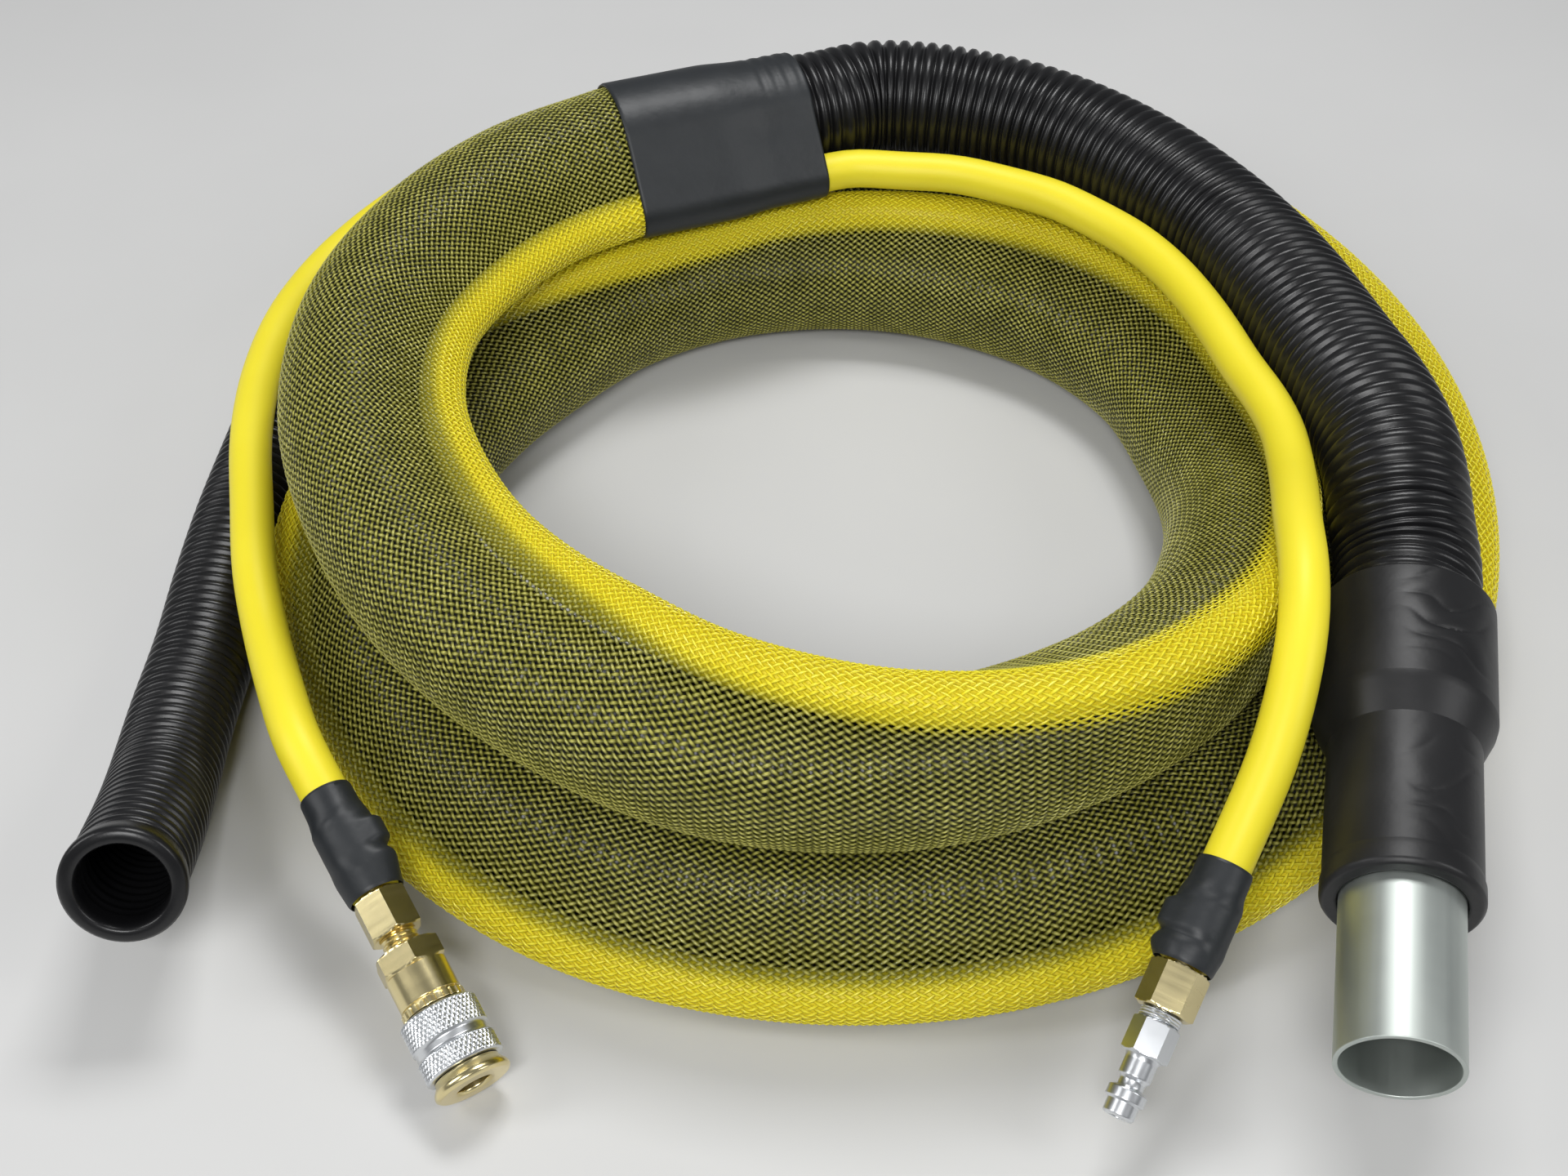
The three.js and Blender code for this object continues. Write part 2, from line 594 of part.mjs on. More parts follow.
// ---------------------------------------------------------------- quick coupler
// Places along its axis are measured from the top of its heat-shrink.
const couplerGroup = onAxis(COUPLER_SHRINK.from, COUPLER_SHRINK.axis);
const COUPLER_TAIL_HEX_LENGTH = 14.6;
const COUPLER_THREAD = 6;
const BODY_FROM = 55.5;
const BODY_HEX = 19;
const BODY_HEX_TO = 63.5;
const BARREL_RADIUS = 9.6;
const BARREL_TO = 77;
const BODY_RADIUS = 8;
const BODY_TO = 98;
const SOCKET_RADIUS = 5.2;
const SOCKET_FROM = 80;
const SEAT_FROM = 78;
const SEAT_RADIUS = 4;
const CHAMBER_FROM = 64.3;
const CHAMBER_RADIUS = 5.6;
const THREAD_TO = 61.8;
const BALL_AT = 91.5;
const BALL_RADIUS = 1.5;
const BALL_OFFSET = 6.3;
const BALLS = 4;
const RING_AT = 94.1;
const SEAL_AT = 85;
add(couplerGroup, "coupler_heat_shrink", heatShrink(COUPLER_SHRINK.length), 0x202021, 0.75, 0);
add(couplerGroup, "coupler_ear_clamp", earClamp(), ...PLATED);
const couplerHoseTail = hoseTail(
  COUPLER_SHRINK.length,
  COUPLER_TAIL_HEX_LENGTH,
  (body, end) => body.add(rod(COUPLER_THREAD, end - 1, THREAD_TO - GAP)),
);
add(couplerGroup, "coupler_hose_tail", couplerHoseTail, ...BRASS);

// Body: a hexagon and a barrel behind, a smooth tube in front with holes for the balls and a ring's groove.
let body = solid(turned([
  [0, BODY_FROM],
  [BARREL_RADIUS, BODY_FROM],
  [BARREL_RADIUS, BARREL_TO],
  [BODY_RADIUS, BARREL_TO],
  [BODY_RADIUS, RING_AT - 0.3],
  [BODY_RADIUS - 0.6, RING_AT - 0.3],
  [BODY_RADIUS - 0.6, RING_AT + 1.3],
  [BODY_RADIUS, RING_AT + 1.3],
  [BODY_RADIUS, BODY_TO],
  [0, BODY_TO],
], SMOOTH));
body = body.add(solid(hexagon(BODY_HEX, BODY_FROM, BODY_HEX_TO)));
body = body.subtract(solid(turned([
  [0, BODY_FROM - 1],
  [COUPLER_THREAD + GAP, BODY_FROM - 1],
  [COUPLER_THREAD + GAP, THREAD_TO],
  [3.8, THREAD_TO],
  [3.8, CHAMBER_FROM],
  [CHAMBER_RADIUS, CHAMBER_FROM],
  [CHAMBER_RADIUS, SEAT_FROM],
  [SEAT_RADIUS, SEAT_FROM],
  [SEAT_RADIUS, SOCKET_FROM],
  [SOCKET_RADIUS, SOCKET_FROM],
  [SOCKET_RADIUS, SEAL_AT - 1.2],
  [SOCKET_RADIUS + 1.4, SEAL_AT - 1.2],
  [SOCKET_RADIUS + 1.4, SEAL_AT + 1.2],
  [SOCKET_RADIUS, SEAL_AT + 1.2],
  [SOCKET_RADIUS, BODY_TO + 1],
  [0, BODY_TO + 1],
])));
for (let i = 0; i < BALLS; i += 1) {
  const hole = new THREE.CylinderGeometry(BALL_RADIUS + 0.25, BALL_RADIUS + 0.25, 6, 8).rotateZ(Math.PI / 2);
  hole.translate(BALL_OFFSET, BALL_AT, 0).rotateY((i / BALLS) * 2 * Math.PI);
  body = body.subtract(solid(hole));
}
add(couplerGroup, "coupler_body", geometryOf(body), ...BRASS);

for (let i = 0; i < BALLS; i += 1) {
  const ball = new THREE.SphereGeometry(BALL_RADIUS, 8, 5).translate(BALL_OFFSET, BALL_AT, 0);
  add(couplerGroup, `locking_ball_${i + 1}`, ball.rotateY((i / BALLS) * 2 * Math.PI), ...PLATED);
}

// Sleeve: a spring chamber behind, a land that holds the balls in, and a recess that frees them.
const SLEEVE_FROM = 77.6;
const SLEEVE_TO = 96.6;
const SLEEVE_RADIUS = 12.2;
const SLEEVE_CHAMBER = 10.4;
const LAND_FROM = 89.4;
const LAND_TO = 93.7;
const LAND_RADIUS = 8.15;
const RECESS_RADIUS = 9.5;
const couplerSleeve = turned([
  [SLEEVE_CHAMBER, SLEEVE_FROM],
  [SLEEVE_RADIUS - 0.5, SLEEVE_FROM],
  [SLEEVE_RADIUS, SLEEVE_FROM + 0.5],
  [SLEEVE_RADIUS, SLEEVE_TO - 0.5],
  [SLEEVE_RADIUS - 0.5, SLEEVE_TO],
  [RECESS_RADIUS, SLEEVE_TO],
  [RECESS_RADIUS, LAND_TO],
  [LAND_RADIUS, LAND_TO],
  [LAND_RADIUS, LAND_FROM],
  [SLEEVE_CHAMBER, LAND_FROM],
], SMOOTH);
add(couplerGroup, "coupler_sleeve", couplerSleeve, ...PLATED);
const RING_BORE = BODY_RADIUS - 0.3;
const RING_RADIUS = 9.1;
const sleeveRing = turned([
  [RING_BORE, RING_AT],
  [RING_RADIUS, RING_AT],
  [RING_RADIUS, RING_AT + 1],
  [RING_BORE, RING_AT + 1],
]);
add(couplerGroup, "sleeve_ring", sleeveRing, ...PLATED);

const NOSE_FROM = 96.9;
const NOSE_TO = 102.3;
const NOSE_NECK = 10.2;
const NOSE_RIM = 12;
const nose = turned([
  [BODY_RADIUS + GAP, NOSE_FROM],
  [NOSE_NECK, NOSE_FROM],
  [NOSE_NECK, NOSE_FROM + 0.6],
  [NOSE_RIM - 0.2, NOSE_TO - 2.3],
  [NOSE_RIM, NOSE_TO - 1.6],
  [NOSE_RIM, NOSE_TO - 0.9],
  [NOSE_RIM - 0.9, NOSE_TO],
  [SOCKET_RADIUS + 0.8, NOSE_TO],
  [SOCKET_RADIUS, NOSE_TO - 0.8],
  [SOCKET_RADIUS, BODY_TO + GAP],
  [BODY_RADIUS + GAP, BODY_TO + GAP],
], SMOOTH);
add(couplerGroup, "coupler_nose", nose, ...BRASS);

// Springs: each an unbroken helix with 8 steps of 5 sides a curl.
function spring(radius, wire, from, to, curls) {
  const rings = [];
  for (let i = 0; i <= curls * 8; i += 1) {
    const a = (i / 8) * 2 * Math.PI;
    const rise = (to - from - 2 * wire) / curls;
    const c = new THREE.Vector3(radius * Math.cos(a), from + wire + (rise * i) / 8, -radius * Math.sin(a));
    const lead = rise / (2 * Math.PI);
    const t = new THREE.Vector3(-radius * Math.sin(a), lead, -radius * Math.cos(a)).normalize();
    const e1 = new THREE.Vector3(Math.cos(a), 0, -Math.sin(a));
    rings.push(ring({ c, e1, e2: t.clone().cross(e1) }, wire, 5));
  }
  return pipe(rings);
}

add(couplerGroup, "sleeve_spring", spring(9.25, 0.55, BARREL_TO + GAP, LAND_FROM - GAP, 4), ...PLATED);

// Valve: a disc with a stem behind, which the plug's nose pushes back against its spring.
const DISC_FROM = 73.5;
const DISC_TO = 76.4;
const valve = turned([
  [0, DISC_FROM - 7.5],
  [1.7, DISC_FROM - 7.5],
  [1.7, DISC_FROM],
  [5, DISC_FROM],
  [5, DISC_TO],
  [3.1, DISC_TO],
  [3.1, SOCKET_FROM + 1.5],
  [0, SOCKET_FROM + 1.5],
]);
add(couplerGroup, "coupler_valve", valve, ...BRASS);
const valveSeal = turned([
  [3.4, DISC_TO + GAP],
  [4.9, DISC_TO + GAP],
  [4.9, SEAT_FROM - GAP],
  [3.4, SEAT_FROM - GAP],
]);
add(couplerGroup, "valve_seal", valveSeal, 0x101010, 0.6, 0);
add(couplerGroup, "valve_spring", spring(4.4, 0.45, CHAMBER_FROM + GAP, DISC_FROM - GAP, 4), ...PLATED);
const plugSeal = new THREE.TorusGeometry(5.5, 0.9, 6, 16).rotateX(Math.PI / 2).translate(0, SEAL_AT, 0);
add(couplerGroup, "plug_seal", plugSeal, 0x101010, 0.6, 0);

// ---------------------------------------------------------------- origin: middle of the box, on the floor
const group = new THREE.Group();
group.add(set);
group.updateMatrixWorld(true);
const box = new THREE.Box3().setFromObject(group, true);
const middle = box.getCenter(new THREE.Vector3());
set.position.set(-middle.x, -middle.y, -box.min.z);

export default group;
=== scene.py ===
"""A suction hose and an air hose in one yellow braided sleeve, coiled on a pale floor.

Each section below is one piece of the set, in the order in which it is put together.
"""

import math

import bpy
import numpy as np
from mathutils import Matrix, Vector


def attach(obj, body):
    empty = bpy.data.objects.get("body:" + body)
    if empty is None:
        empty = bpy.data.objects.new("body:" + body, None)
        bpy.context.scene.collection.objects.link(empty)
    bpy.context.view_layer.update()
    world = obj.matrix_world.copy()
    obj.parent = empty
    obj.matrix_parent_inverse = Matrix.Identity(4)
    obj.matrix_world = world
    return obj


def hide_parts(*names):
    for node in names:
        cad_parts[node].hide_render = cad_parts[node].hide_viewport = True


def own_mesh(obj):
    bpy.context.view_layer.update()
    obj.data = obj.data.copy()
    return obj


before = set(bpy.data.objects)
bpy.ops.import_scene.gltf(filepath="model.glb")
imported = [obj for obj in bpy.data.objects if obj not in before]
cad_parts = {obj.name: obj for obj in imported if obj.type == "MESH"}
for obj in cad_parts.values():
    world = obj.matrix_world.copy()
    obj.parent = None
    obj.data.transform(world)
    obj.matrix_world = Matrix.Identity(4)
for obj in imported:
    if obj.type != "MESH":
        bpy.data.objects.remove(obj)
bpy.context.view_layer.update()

# ---------------------------------------------------------------- camera and studio
# The view is 45 degrees down on the coil, from in front. Four wide soft lights stand behind it, on both
# sides and in front, all above it, and a weak pale sky fills the shadows.

COIL_CENTRE = np.array([-0.0077111, 0.0249544, -0.00065])  # the coil's axis on the floor, in the part's frame

camera = bpy.data.objects.new("camera", bpy.data.cameras.new("camera"))
bpy.context.scene.collection.objects.link(camera)
camera.location = COIL_CENTRE + [-0.010, -0.570, 0.535]
camera.rotation_euler = (math.radians(45), 0, 0)
camera.data.sensor_width = 36
camera.data.lens = 46.875
bpy.context.scene.camera = camera
bpy.context.scene.view_settings.view_transform = "Standard"


def softbox(name, place, target, size, watts):
    light = bpy.data.lights.new(name, "AREA")
    light.shape = "RECTANGLE"
    light.size, light.size_y = size
    light.energy = watts
    lamp = bpy.data.objects.new(name, light)
    lamp.location = place
    lamp.rotation_euler = (Vector(target) - Vector(place)).to_track_quat("-Z", "Y").to_euler()
    bpy.context.scene.collection.objects.link(lamp)


softbox("light_top", (0.10, 0.50, 1.30), (0, 0.02, 0), (0.55, 0.35), 10)
softbox("light_left", (-1.15, -0.30, 0.85), (-0.05, 0, 0.03), (0.35, 0.7), 5)
softbox("light_right", (1.10, -0.55, 0.95), (0.05, 0, 0.03), (0.35, 0.7), 5)
softbox("light_front", (-0.20, -1.00, 1.05), (0, 0.08, 0.03), (0.5, 0.35), 10)
world = bpy.data.worlds.new("studio")
world.use_nodes = True
sky = world.node_tree.nodes["Background"].inputs
sky["Color"].default_value = (0.9, 0.92, 0.95, 1)
sky["Strength"].default_value = 0.20
bpy.context.scene.world = world

# ---------------------------------------------------------------- materials A material is written as sums
# on sockets. Wire carries one socket, and its operators add the maths nodes.


class Wire:
    def __init__(self, tree, socket):
        self.tree, self.socket = tree, socket

    def maths(self, operation, other=0.0, swap=False, clamp=False):
        node = self.tree.nodes.new("ShaderNodeMath")
        node.operation, node.use_clamp = operation, clamp
        for slot, value in zip(node.inputs, (other, self) if swap else (self, other)):
            feed(self.tree, slot, value)
        return Wire(self.tree, node.outputs[0])

    def __add__(self, other):
        return self.maths("ADD", other)

    def __sub__(self, other):
        return self.maths("SUBTRACT", other)

    def __rsub__(self, other):
        return self.maths("SUBTRACT", other, swap=True)

    def __mul__(self, other):
        return self.maths("MULTIPLY", other)

    def __pow__(self, other):
        return self.maths("POWER", other)

    __radd__, __rmul__ = __add__, __mul__

    def clamped(self):
        return self.maths("ADD", 0.0, clamp=True)

    def part(self, name):
        """Another output of the node that this socket belongs to."""
        return Wire(self.tree, self.socket.node.outputs[name])


def feed(tree, slot, value):
    if isinstance(value, Wire):
        tree.links.new(value.socket, slot)
    elif hasattr(value, "__len__") and len(value) == 3 and slot.type == "RGBA":
        slot.default_value = (*value, 1)
    else:
        slot.default_value = value


class Paint:
    def __init__(self, name):
        self.name, self.material = name, bpy.data.materials.new(name)
        self.material.use_nodes = True
        self.tree = self.material.node_tree
        self.shader = self.tree.nodes["Principled BSDF"]

    def node(self, kind, inputs=(), output=0, **settings):
        node = self.tree.nodes.new("ShaderNode" + kind)
        for key, value in settings.items():
            setattr(node, key, value)
        for key, value in dict(inputs).items():
            feed(self.tree, node.inputs[key], value)
        return Wire(self.tree, node.outputs[output])

    def noise(self, scale, detail, stretch=None):
        at = self.node("TexCoord", output="Object")
        if stretch:
            at = self.node("Mapping", {"Vector": at, "Scale": stretch})
        return self.node("TexNoise", {"Vector": at, "Scale": scale, "Detail": detail, "Roughness": 0.55})

    def mix(self, factor, a, b):
        """A blend of two colours, which a Mix node takes at its inputs 6 and 7 and gives at its output 2."""
        return self.node("Mix", {0: factor, 6: a, 7: b}, output=2, data_type="RGBA")

    def bump(self, height, strength, distance):
        return self.node("Bump", {"Height": height, "Strength": strength, "Distance": distance})

    def finish(self, **sockets):
        inputs = {socket.name.lower().replace(" ", "_"): socket for socket in self.shader.inputs}
        for name, value in sockets.items():
            feed(self.tree, inputs[name], value)


# ---------------------------------------------------------------- floor
# A wide, pale, matt floor under the coil. It belongs to the studio and is no piece of the set.

FLOOR_HALF = 6

floor_paint = Paint("floor")
speck = floor_paint.noise(6.0, detail=3)
floor_paint.finish(
    base_color=floor_paint.mix(speck, (0.54, 0.54, 0.535), (0.59, 0.59, 0.585)),
    roughness=speck * 0.1 + 0.55,
)
floor_mesh = bpy.data.meshes.new("floor")
floor_corners = [(x * FLOOR_HALF, y * FLOOR_HALF, 0) for x, y in ((-1, -1), (1, -1), (1, 1), (-1, 1))]
floor_mesh.from_pydata(floor_corners, [], [(0, 1, 2, 3)])
floor_mesh.materials.append(floor_paint.material)
floor = bpy.data.objects.new("floor", floor_mesh)
bpy.context.scene.collection.objects.link(floor)

# ---------------------------------------------------------------- the coil's route
# The suction hose's centre every 30 degrees round the coil: radius and height in metres, and the side on
# which the air hose lies, in degrees (0 outward, 90 on top, 180 inward). Each collar is on a straight
# stretch between two places on that route, and the air hose keeps to one side of it there.

ROUTE_START, ROUTE_STEP = 90, 30
ROUTE_RADIUS = [
    .151, .1455, .152, .161, .1635, .173, .187, .183, .162, .149, .145, .135, .128,
    .126, .128, .147, .170, .185, .193, .199, .207, .211, .212, .212, .208, .205,
]
ROUTE_HEIGHT = [
    .086, .0865, .087, .0835, .079, .0765, .077, .0745, .052, .028, .0245, .0245, .0245,
    .0245, .0245, .0245, .0245, .0245, .0245, .0245, .0245, .0245, .0245, .0245, .0245, .0245,
]
ROUTE_SIDE = [
    202, 200, 196, 182, 168, 144, 98, 62, 60, 66, 72, 85, 98,
    107, 80, 30, -4, -18, -20, -16, 4, 34, 54, 65, 70, 75,
]
HOSE_SPACING = 0.031
COLLAR_1, COLLAR_2 = (92, 122), (818, 842)
COLLAR_SIDE_1, COLLAR_SIDE_2 = 200, 72
COIL_STEPS = 40
UP = np.array([0.0, 0.0, 1.0])
GAP = 0.0003  # between pieces that touch


def unit(v):
    return v / np.linalg.norm(v, axis=-1, keepdims=True)


def along(values, degrees):
    u = (degrees - ROUTE_START) / ROUTE_STEP
    i = min(max(int(math.floor(u)), 0), len(values) - 2)
    f = u - i
    a, b, c, d = (values[min(max(k, 0), len(values) - 1)] for k in (i - 1, i, i + 1, i + 2))
    bend = (2 * a - 5 * b + 4 * c - d) * f ** 2 + (3 * b - a - 3 * c + d) * f ** 3
    return 0.5 * (2 * b + (c - a) * f + bend)


def centre(degrees):
    angle, radius = math.radians(degrees), along(ROUTE_RADIUS, degrees)
    return np.array([radius * math.cos(angle), radius * math.sin(angle), along(ROUTE_HEIGHT, degrees)])


def toward_air(c, t, side):
    out, angle = unit(np.array([c[0], c[1], 0])), math.radians(side)
    e = out * math.cos(angle) + UP * math.sin(angle)
    return unit(e - t * np.dot(e, t))


def collar_line(ends, side):
    a, b = centre(ends[0]), centre(ends[1])
    t = unit(b - a)
    return a, b, t, toward_air((a + b) / 2, t, side)


c1_start, c1_end, c1_t, c1_e = collar_line(COLLAR_1, COLLAR_SIDE_1)
c2_start, c2_end, c2_t, c2_e = collar_line(COLLAR_2, COLLAR_SIDE_2)
coil_degrees = [COLLAR_1[1] + (COLLAR_2[0] - COLLAR_1[1]) * i / COIL_STEPS for i in range(1, COIL_STEPS)]
coil_points = [centre(d) for d in coil_degrees]
coil_sides = [
    toward_air(centre(d), unit(centre(d + 1) - centre(d - 1)), along(ROUTE_SIDE, d)) for d in coil_degrees
]


def smooth(points, steps=24):
    """A centripetal curve through points, steps to a stretch. Numbers after the first three go with it."""
    p = np.array([np.asarray(q, float) for q in points])
    p = np.vstack([2 * p[0] - p[1], p, 2 * p[-1] - p[-2]])
    found = []
    for p0, p1, p2, p3 in zip(p, p[1:], p[2:], p[3:]):
        d0, d1, d2 = (np.linalg.norm((b - a)[:3]) ** 0.5 for a, b in ((p0, p1), (p1, p2), (p2, p3)))
        m1 = ((p1 - p0) / d0 - (p2 - p0) / (d0 + d1) + (p2 - p1) / d1) * d1
        m2 = ((p2 - p1) / d1 - (p3 - p1) / (d1 + d2) + (p3 - p2) / d2) * d1
        f = (np.arange(steps) / steps)[:, None]
        found.append(
            (2 * f ** 3 - 3 * f ** 2 + 1) * p1 + (f ** 3 - 2 * f ** 2 + f) * m1
            + (3 * f ** 2 - 2 * f ** 3) * p2 + (f ** 3 - f ** 2) * m2
        )
    return np.vstack([*found, p[-2]])


def spaced(curve, places, *others):
    """Points, and the other values, at these distances along a curve of close points."""
    run = np.concatenate([[0], np.cumsum(np.linalg.norm(np.diff(curve, axis=0), axis=1))])
    return [np.stack([np.interp(places, run, a[:, k]) for k in range(3)], 1) for a in (curve, *others)]


def run_length(curve):
    return float(np.linalg.norm(np.diff(curve, axis=0), axis=1).sum())


def directions(points):
    return unit(np.gradient(points, axis=0))


def carried(points, first):
    """A direction across the curve, carried along it without twist."""
    t, e, found = directions(points), np.asarray(first, float), []
    for d in t:
        e = unit(e - d * np.dot(e, d))
        found.append(e)
    return np.array(found)


# ---------------------------------------------------------------- suction hose
# Black corrugated hose of 46 mm from the cuff, through the first collar and the whole sleeve, to the
# reducer. Each rib is a broad ridge with a narrow groove, and in the sleeve it is drawn with fewer rings.

SUCTION_RADIUS, SUCTION_BORE, SUCTION_PITCH = 0.023, 0.019, 0.0051
RIB_PLACES = [0, 0.09, 0.20, 0.36, 0.64, 0.80, 0.91]
RIB_DEPTHS = [0.0021, 0.00175, 0.00075, 0.00012, 0.00012, 0.00075, 0.00175]
CUFF_FACE = np.array([0.1848, -0.1242, 0.0765])
TUBE_END = np.array([0.1536, -0.2768, 0.0611])
FEWER_RINGS = 0, 2, 5  # which places of a rib are kept in the sleeve
HOSE_IN_CUFF, HOSE_IN_COLLAR = 0.040, 0.036
SUCTION_CHAMFER, BORE_ROW = 0.0008, 0.010
cuff_axis = unit(TUBE_END - CUFF_FACE)

vacuum_tail = [
    c1_start, c1_start - 0.012 * c1_t,
    (.026, .1623, .086), (.0475, .161, .086), (.068, .1565, .085), (.088, .1485, .0845), (.106, .137, .084),
    (.122, .123, .0835), (.136, .1075, .083), (.148, .0915, .082), (.159, .0735, .0815),
    (.1675, .0525, .0825), (.174, .0305, .084), (.179, .0095, .085), (.1832, -.011, .0865),
    (.1875, -.033, .0885), (.190, -.055, .089), (.190, -.075, .087), (.1893, -.090, .0825),
    *(CUFF_FACE + reach * cuff_axis for reach in (-0.020, 0, 0.020, HOSE_IN_CUFF)),
]
sleeve_route = [c1_end, *coil_points, c2_start, c2_start + HOSE_IN_COLLAR * c2_t]
sleeve_sides = [c1_e, *coil_sides, c2_e, c2_e]
suction_curve = smooth([*vacuum_tail[::-1], *sleeve_route]) + COIL_CENTRE
tail_length = run_length(smooth(vacuum_tail[::-1]))


def show(name, mesh, paint, nodes, body="hose_set", matrix=None, slot=None):
    """Adds a mesh as a smooth piece that rides a body and stands for these nodes of the CAD model."""
    mesh.polygons.foreach_set("use_smooth", np.full(len(mesh.polygons), True))
    mesh.materials.append(paint.material)
    piece = bpy.data.objects.new(name, mesh)
    bpy.context.scene.collection.objects.link(piece)
    if matrix is not None:
        piece.matrix_world = matrix
    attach(piece, body)
    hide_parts(*nodes)
    return piece


def ring_mesh(name, rings, closed=False, capped=False):
    """A mesh from rings of points: an array of rings, points and 3."""
    rings = np.asarray(rings)
    n, k = rings.shape[:2]
    a = np.arange(n if closed else n - 1)[:, None] * k + np.arange(k)
    b = np.roll(a, -1, axis=1)
    faces = np.stack([a, b, (b + k) % (n * k), (a + k) % (n * k)], -1).reshape(-1, 4).tolist()
    if capped:
        faces += [list(range(k))[::-1], [(n - 1) * k + j for j in range(k)]]
    mesh = bpy.data.meshes.new(name)
    mesh.from_pydata(rings.reshape(-1, 3).tolist(), [], faces)
    return mesh


def round_rings(points, across, radii, sides):
    e2 = np.cross(directions(points), across)
    a = np.linspace(0, 2 * math.pi, sides, endpoint=False)
    ring = across[:, None] * np.cos(a)[None, :, None] + e2[:, None] * np.sin(a)[None, :, None]
    return points[:, None] + ring * np.asarray(radii)[:, None, None]


def ribs(length, radius, pitch, depth, light_from):
    """Places along a corrugated hose and the radius at each. After light_from its ribs have fewer rings."""
    places, radii, at = [0.0], [radius], 0.0005
    while at + pitch < length:
        keep = range(len(RIB_PLACES)) if at < light_from else FEWER_RINGS
        places += [at + pitch * RIB_PLACES[i] for i in keep]
        radii += [radius - RIB_DEPTHS[i] * depth for i in keep]
        at += pitch
    return places, radii


def pipe_mesh(name, curve, outer, bore, sides):
    """A pipe along a curve, from its outside's and its bore's (places, radii)."""
    skins = []
    for places, radii in (outer, bore):
        points, = spaced(curve, places)
        skins.append(round_rings(points, carried(points, (0, 0, 1)), radii, sides))
    return ring_mesh(name, np.concatenate([skins[0], skins[1][::-1]]), closed=True)


suction_length = run_length(suction_curve)
places, radii = ribs(suction_length, SUCTION_RADIUS, SUCTION_PITCH, 1.0, tail_length + 0.01)
suction_outer = (
    places + [suction_length - SUCTION_CHAMFER, suction_length],
    radii + [SUCTION_RADIUS, SUCTION_RADIUS - SUCTION_CHAMFER],
)
bore_places = np.linspace(0, suction_length, int(suction_length / BORE_ROW))
suction_bore = bore_places, np.full(len(bore_places), SUCTION_BORE)

hose_black = Paint("black_hose")
grain = hose_black.noise(900.0, detail=3)
dust = hose_black.noise(35.0, detail=5)
hose_black.finish(
    base_color=hose_black.mix(dust, (0.004, 0.004, 0.0045), (0.010, 0.010, 0.011)),
    roughness=dust * 0.12 + 0.26,
    normal=hose_black.bump(grain, 0.10, 0.0003),
    specular_ior_level=0.38,
)
suction_hose = show(
    "suction_hose_ribbed", pipe_mesh("suction_hose_ribbed", suction_curve, suction_outer, suction_bore, 64),
    hose_black, ["suction_hose"],
)

# ---------------------------------------------------------------- tool hose
# Thinner corrugated hose of 35 mm, from the reducer in the hidden collar to its open mouth, which flares to a
# thick smooth lip. Its ribs also show inside, near the mouth.

TOOL_RADIUS, TOOL_BORE, TOOL_PITCH, TOOL_RIB_DEPTH = 0.0175, 0.0135, 0.0044, 0.78
TOOL_RIM, LIP_RADIUS = 0.010, 0.0187
MOUTH_RIBS_FROM, MOUTH_RIBS_TO, MOUTH_RIB_DEPTH = 0.060, 0.009, 0.0006
REDUCER_FLANGE = 0.004
tool_start = c2_start + (HOSE_IN_COLLAR + 2 * GAP + REDUCER_FLANGE) * c2_t
tool_tail = [
    c2_end, (*(c2_end + 0.028 * c2_t)[:2], .023), (-.170, .139, .0195), (-.191, .113, .0184),
    (-.199, .086, .0184), (-.204, .055, .0184), (-.207, .021, .0184), (-.210, -.018, .0184),
    (-.211, -.052, .0184), (-.211, -.085, .0184), (-.212, -.116, .0195), (-.210, -.151, .026),
    (-.206, -.176, .038), (-.203, -.204, .051),
]
tool_curve = smooth([tool_start, *tool_tail]) + COIL_CENTRE
tool_curve = np.vstack([tool_curve, tool_curve[-1] + TOOL_RIM * unit(tool_curve[-1] - tool_curve[-2])])
tool_length = run_length(tool_curve)
places, radii = ribs(tool_length - TOOL_RIM, TOOL_RADIUS, TOOL_PITCH, TOOL_RIB_DEPTH, tool_length)
lip_back = [0.0085, 0.0065, 0.0045, 0.0028, 0.0012, 0.0004, 0.0]
lip_flare = [0.1, 0.45, 0.85, 1.0, 1.0, 0.62, 0.0]
lip_tip = [0, 0, 0, 0, 0.0001, 0.0006, 0.0013]
tool_outer = (
    places + [tool_length - back for back in lip_back],
    radii + [
        TOOL_RADIUS + (LIP_RADIUS - TOOL_RADIUS) * flare - tip * (flare == 0 or tip < 0.001)
        for flare, tip in zip(lip_flare, lip_tip)
    ],
)
deep_bore = np.linspace(0, tool_length - MOUTH_RIBS_FROM - 0.002, 44)
mouth_places = np.arange(MOUTH_RIBS_FROM, 0.0025, -TOOL_PITCH / 4)
mouth_waves = np.maximum(0, np.cos(mouth_places / TOOL_PITCH * 2 * math.pi)) * (mouth_places > MOUTH_RIBS_TO)
tool_bore = (
    [*deep_bore, *(tool_length - mouth_places), tool_length - 0.0006, tool_length],
    [
        *np.full(len(deep_bore), TOOL_BORE), *(TOOL_BORE + MOUTH_RIB_DEPTH * mouth_waves),
        TOOL_BORE + 0.0004, TOOL_BORE + 0.0012,
    ],
)
tool_hose = show(
    "tool_hose_ribbed", pipe_mesh("tool_hose_ribbed", tool_curve, tool_outer, tool_bore, 64),
    hose_black, ["tool_hose"],
)

# ---------------------------------------------------------------- air hose
# Smooth yellow hose of 15 mm: from the plug, beside the suction hose through the sleeve, to the coupler.
# Both ends are straight under their heat-shrinks, on the lines of the plug and of the coupler.

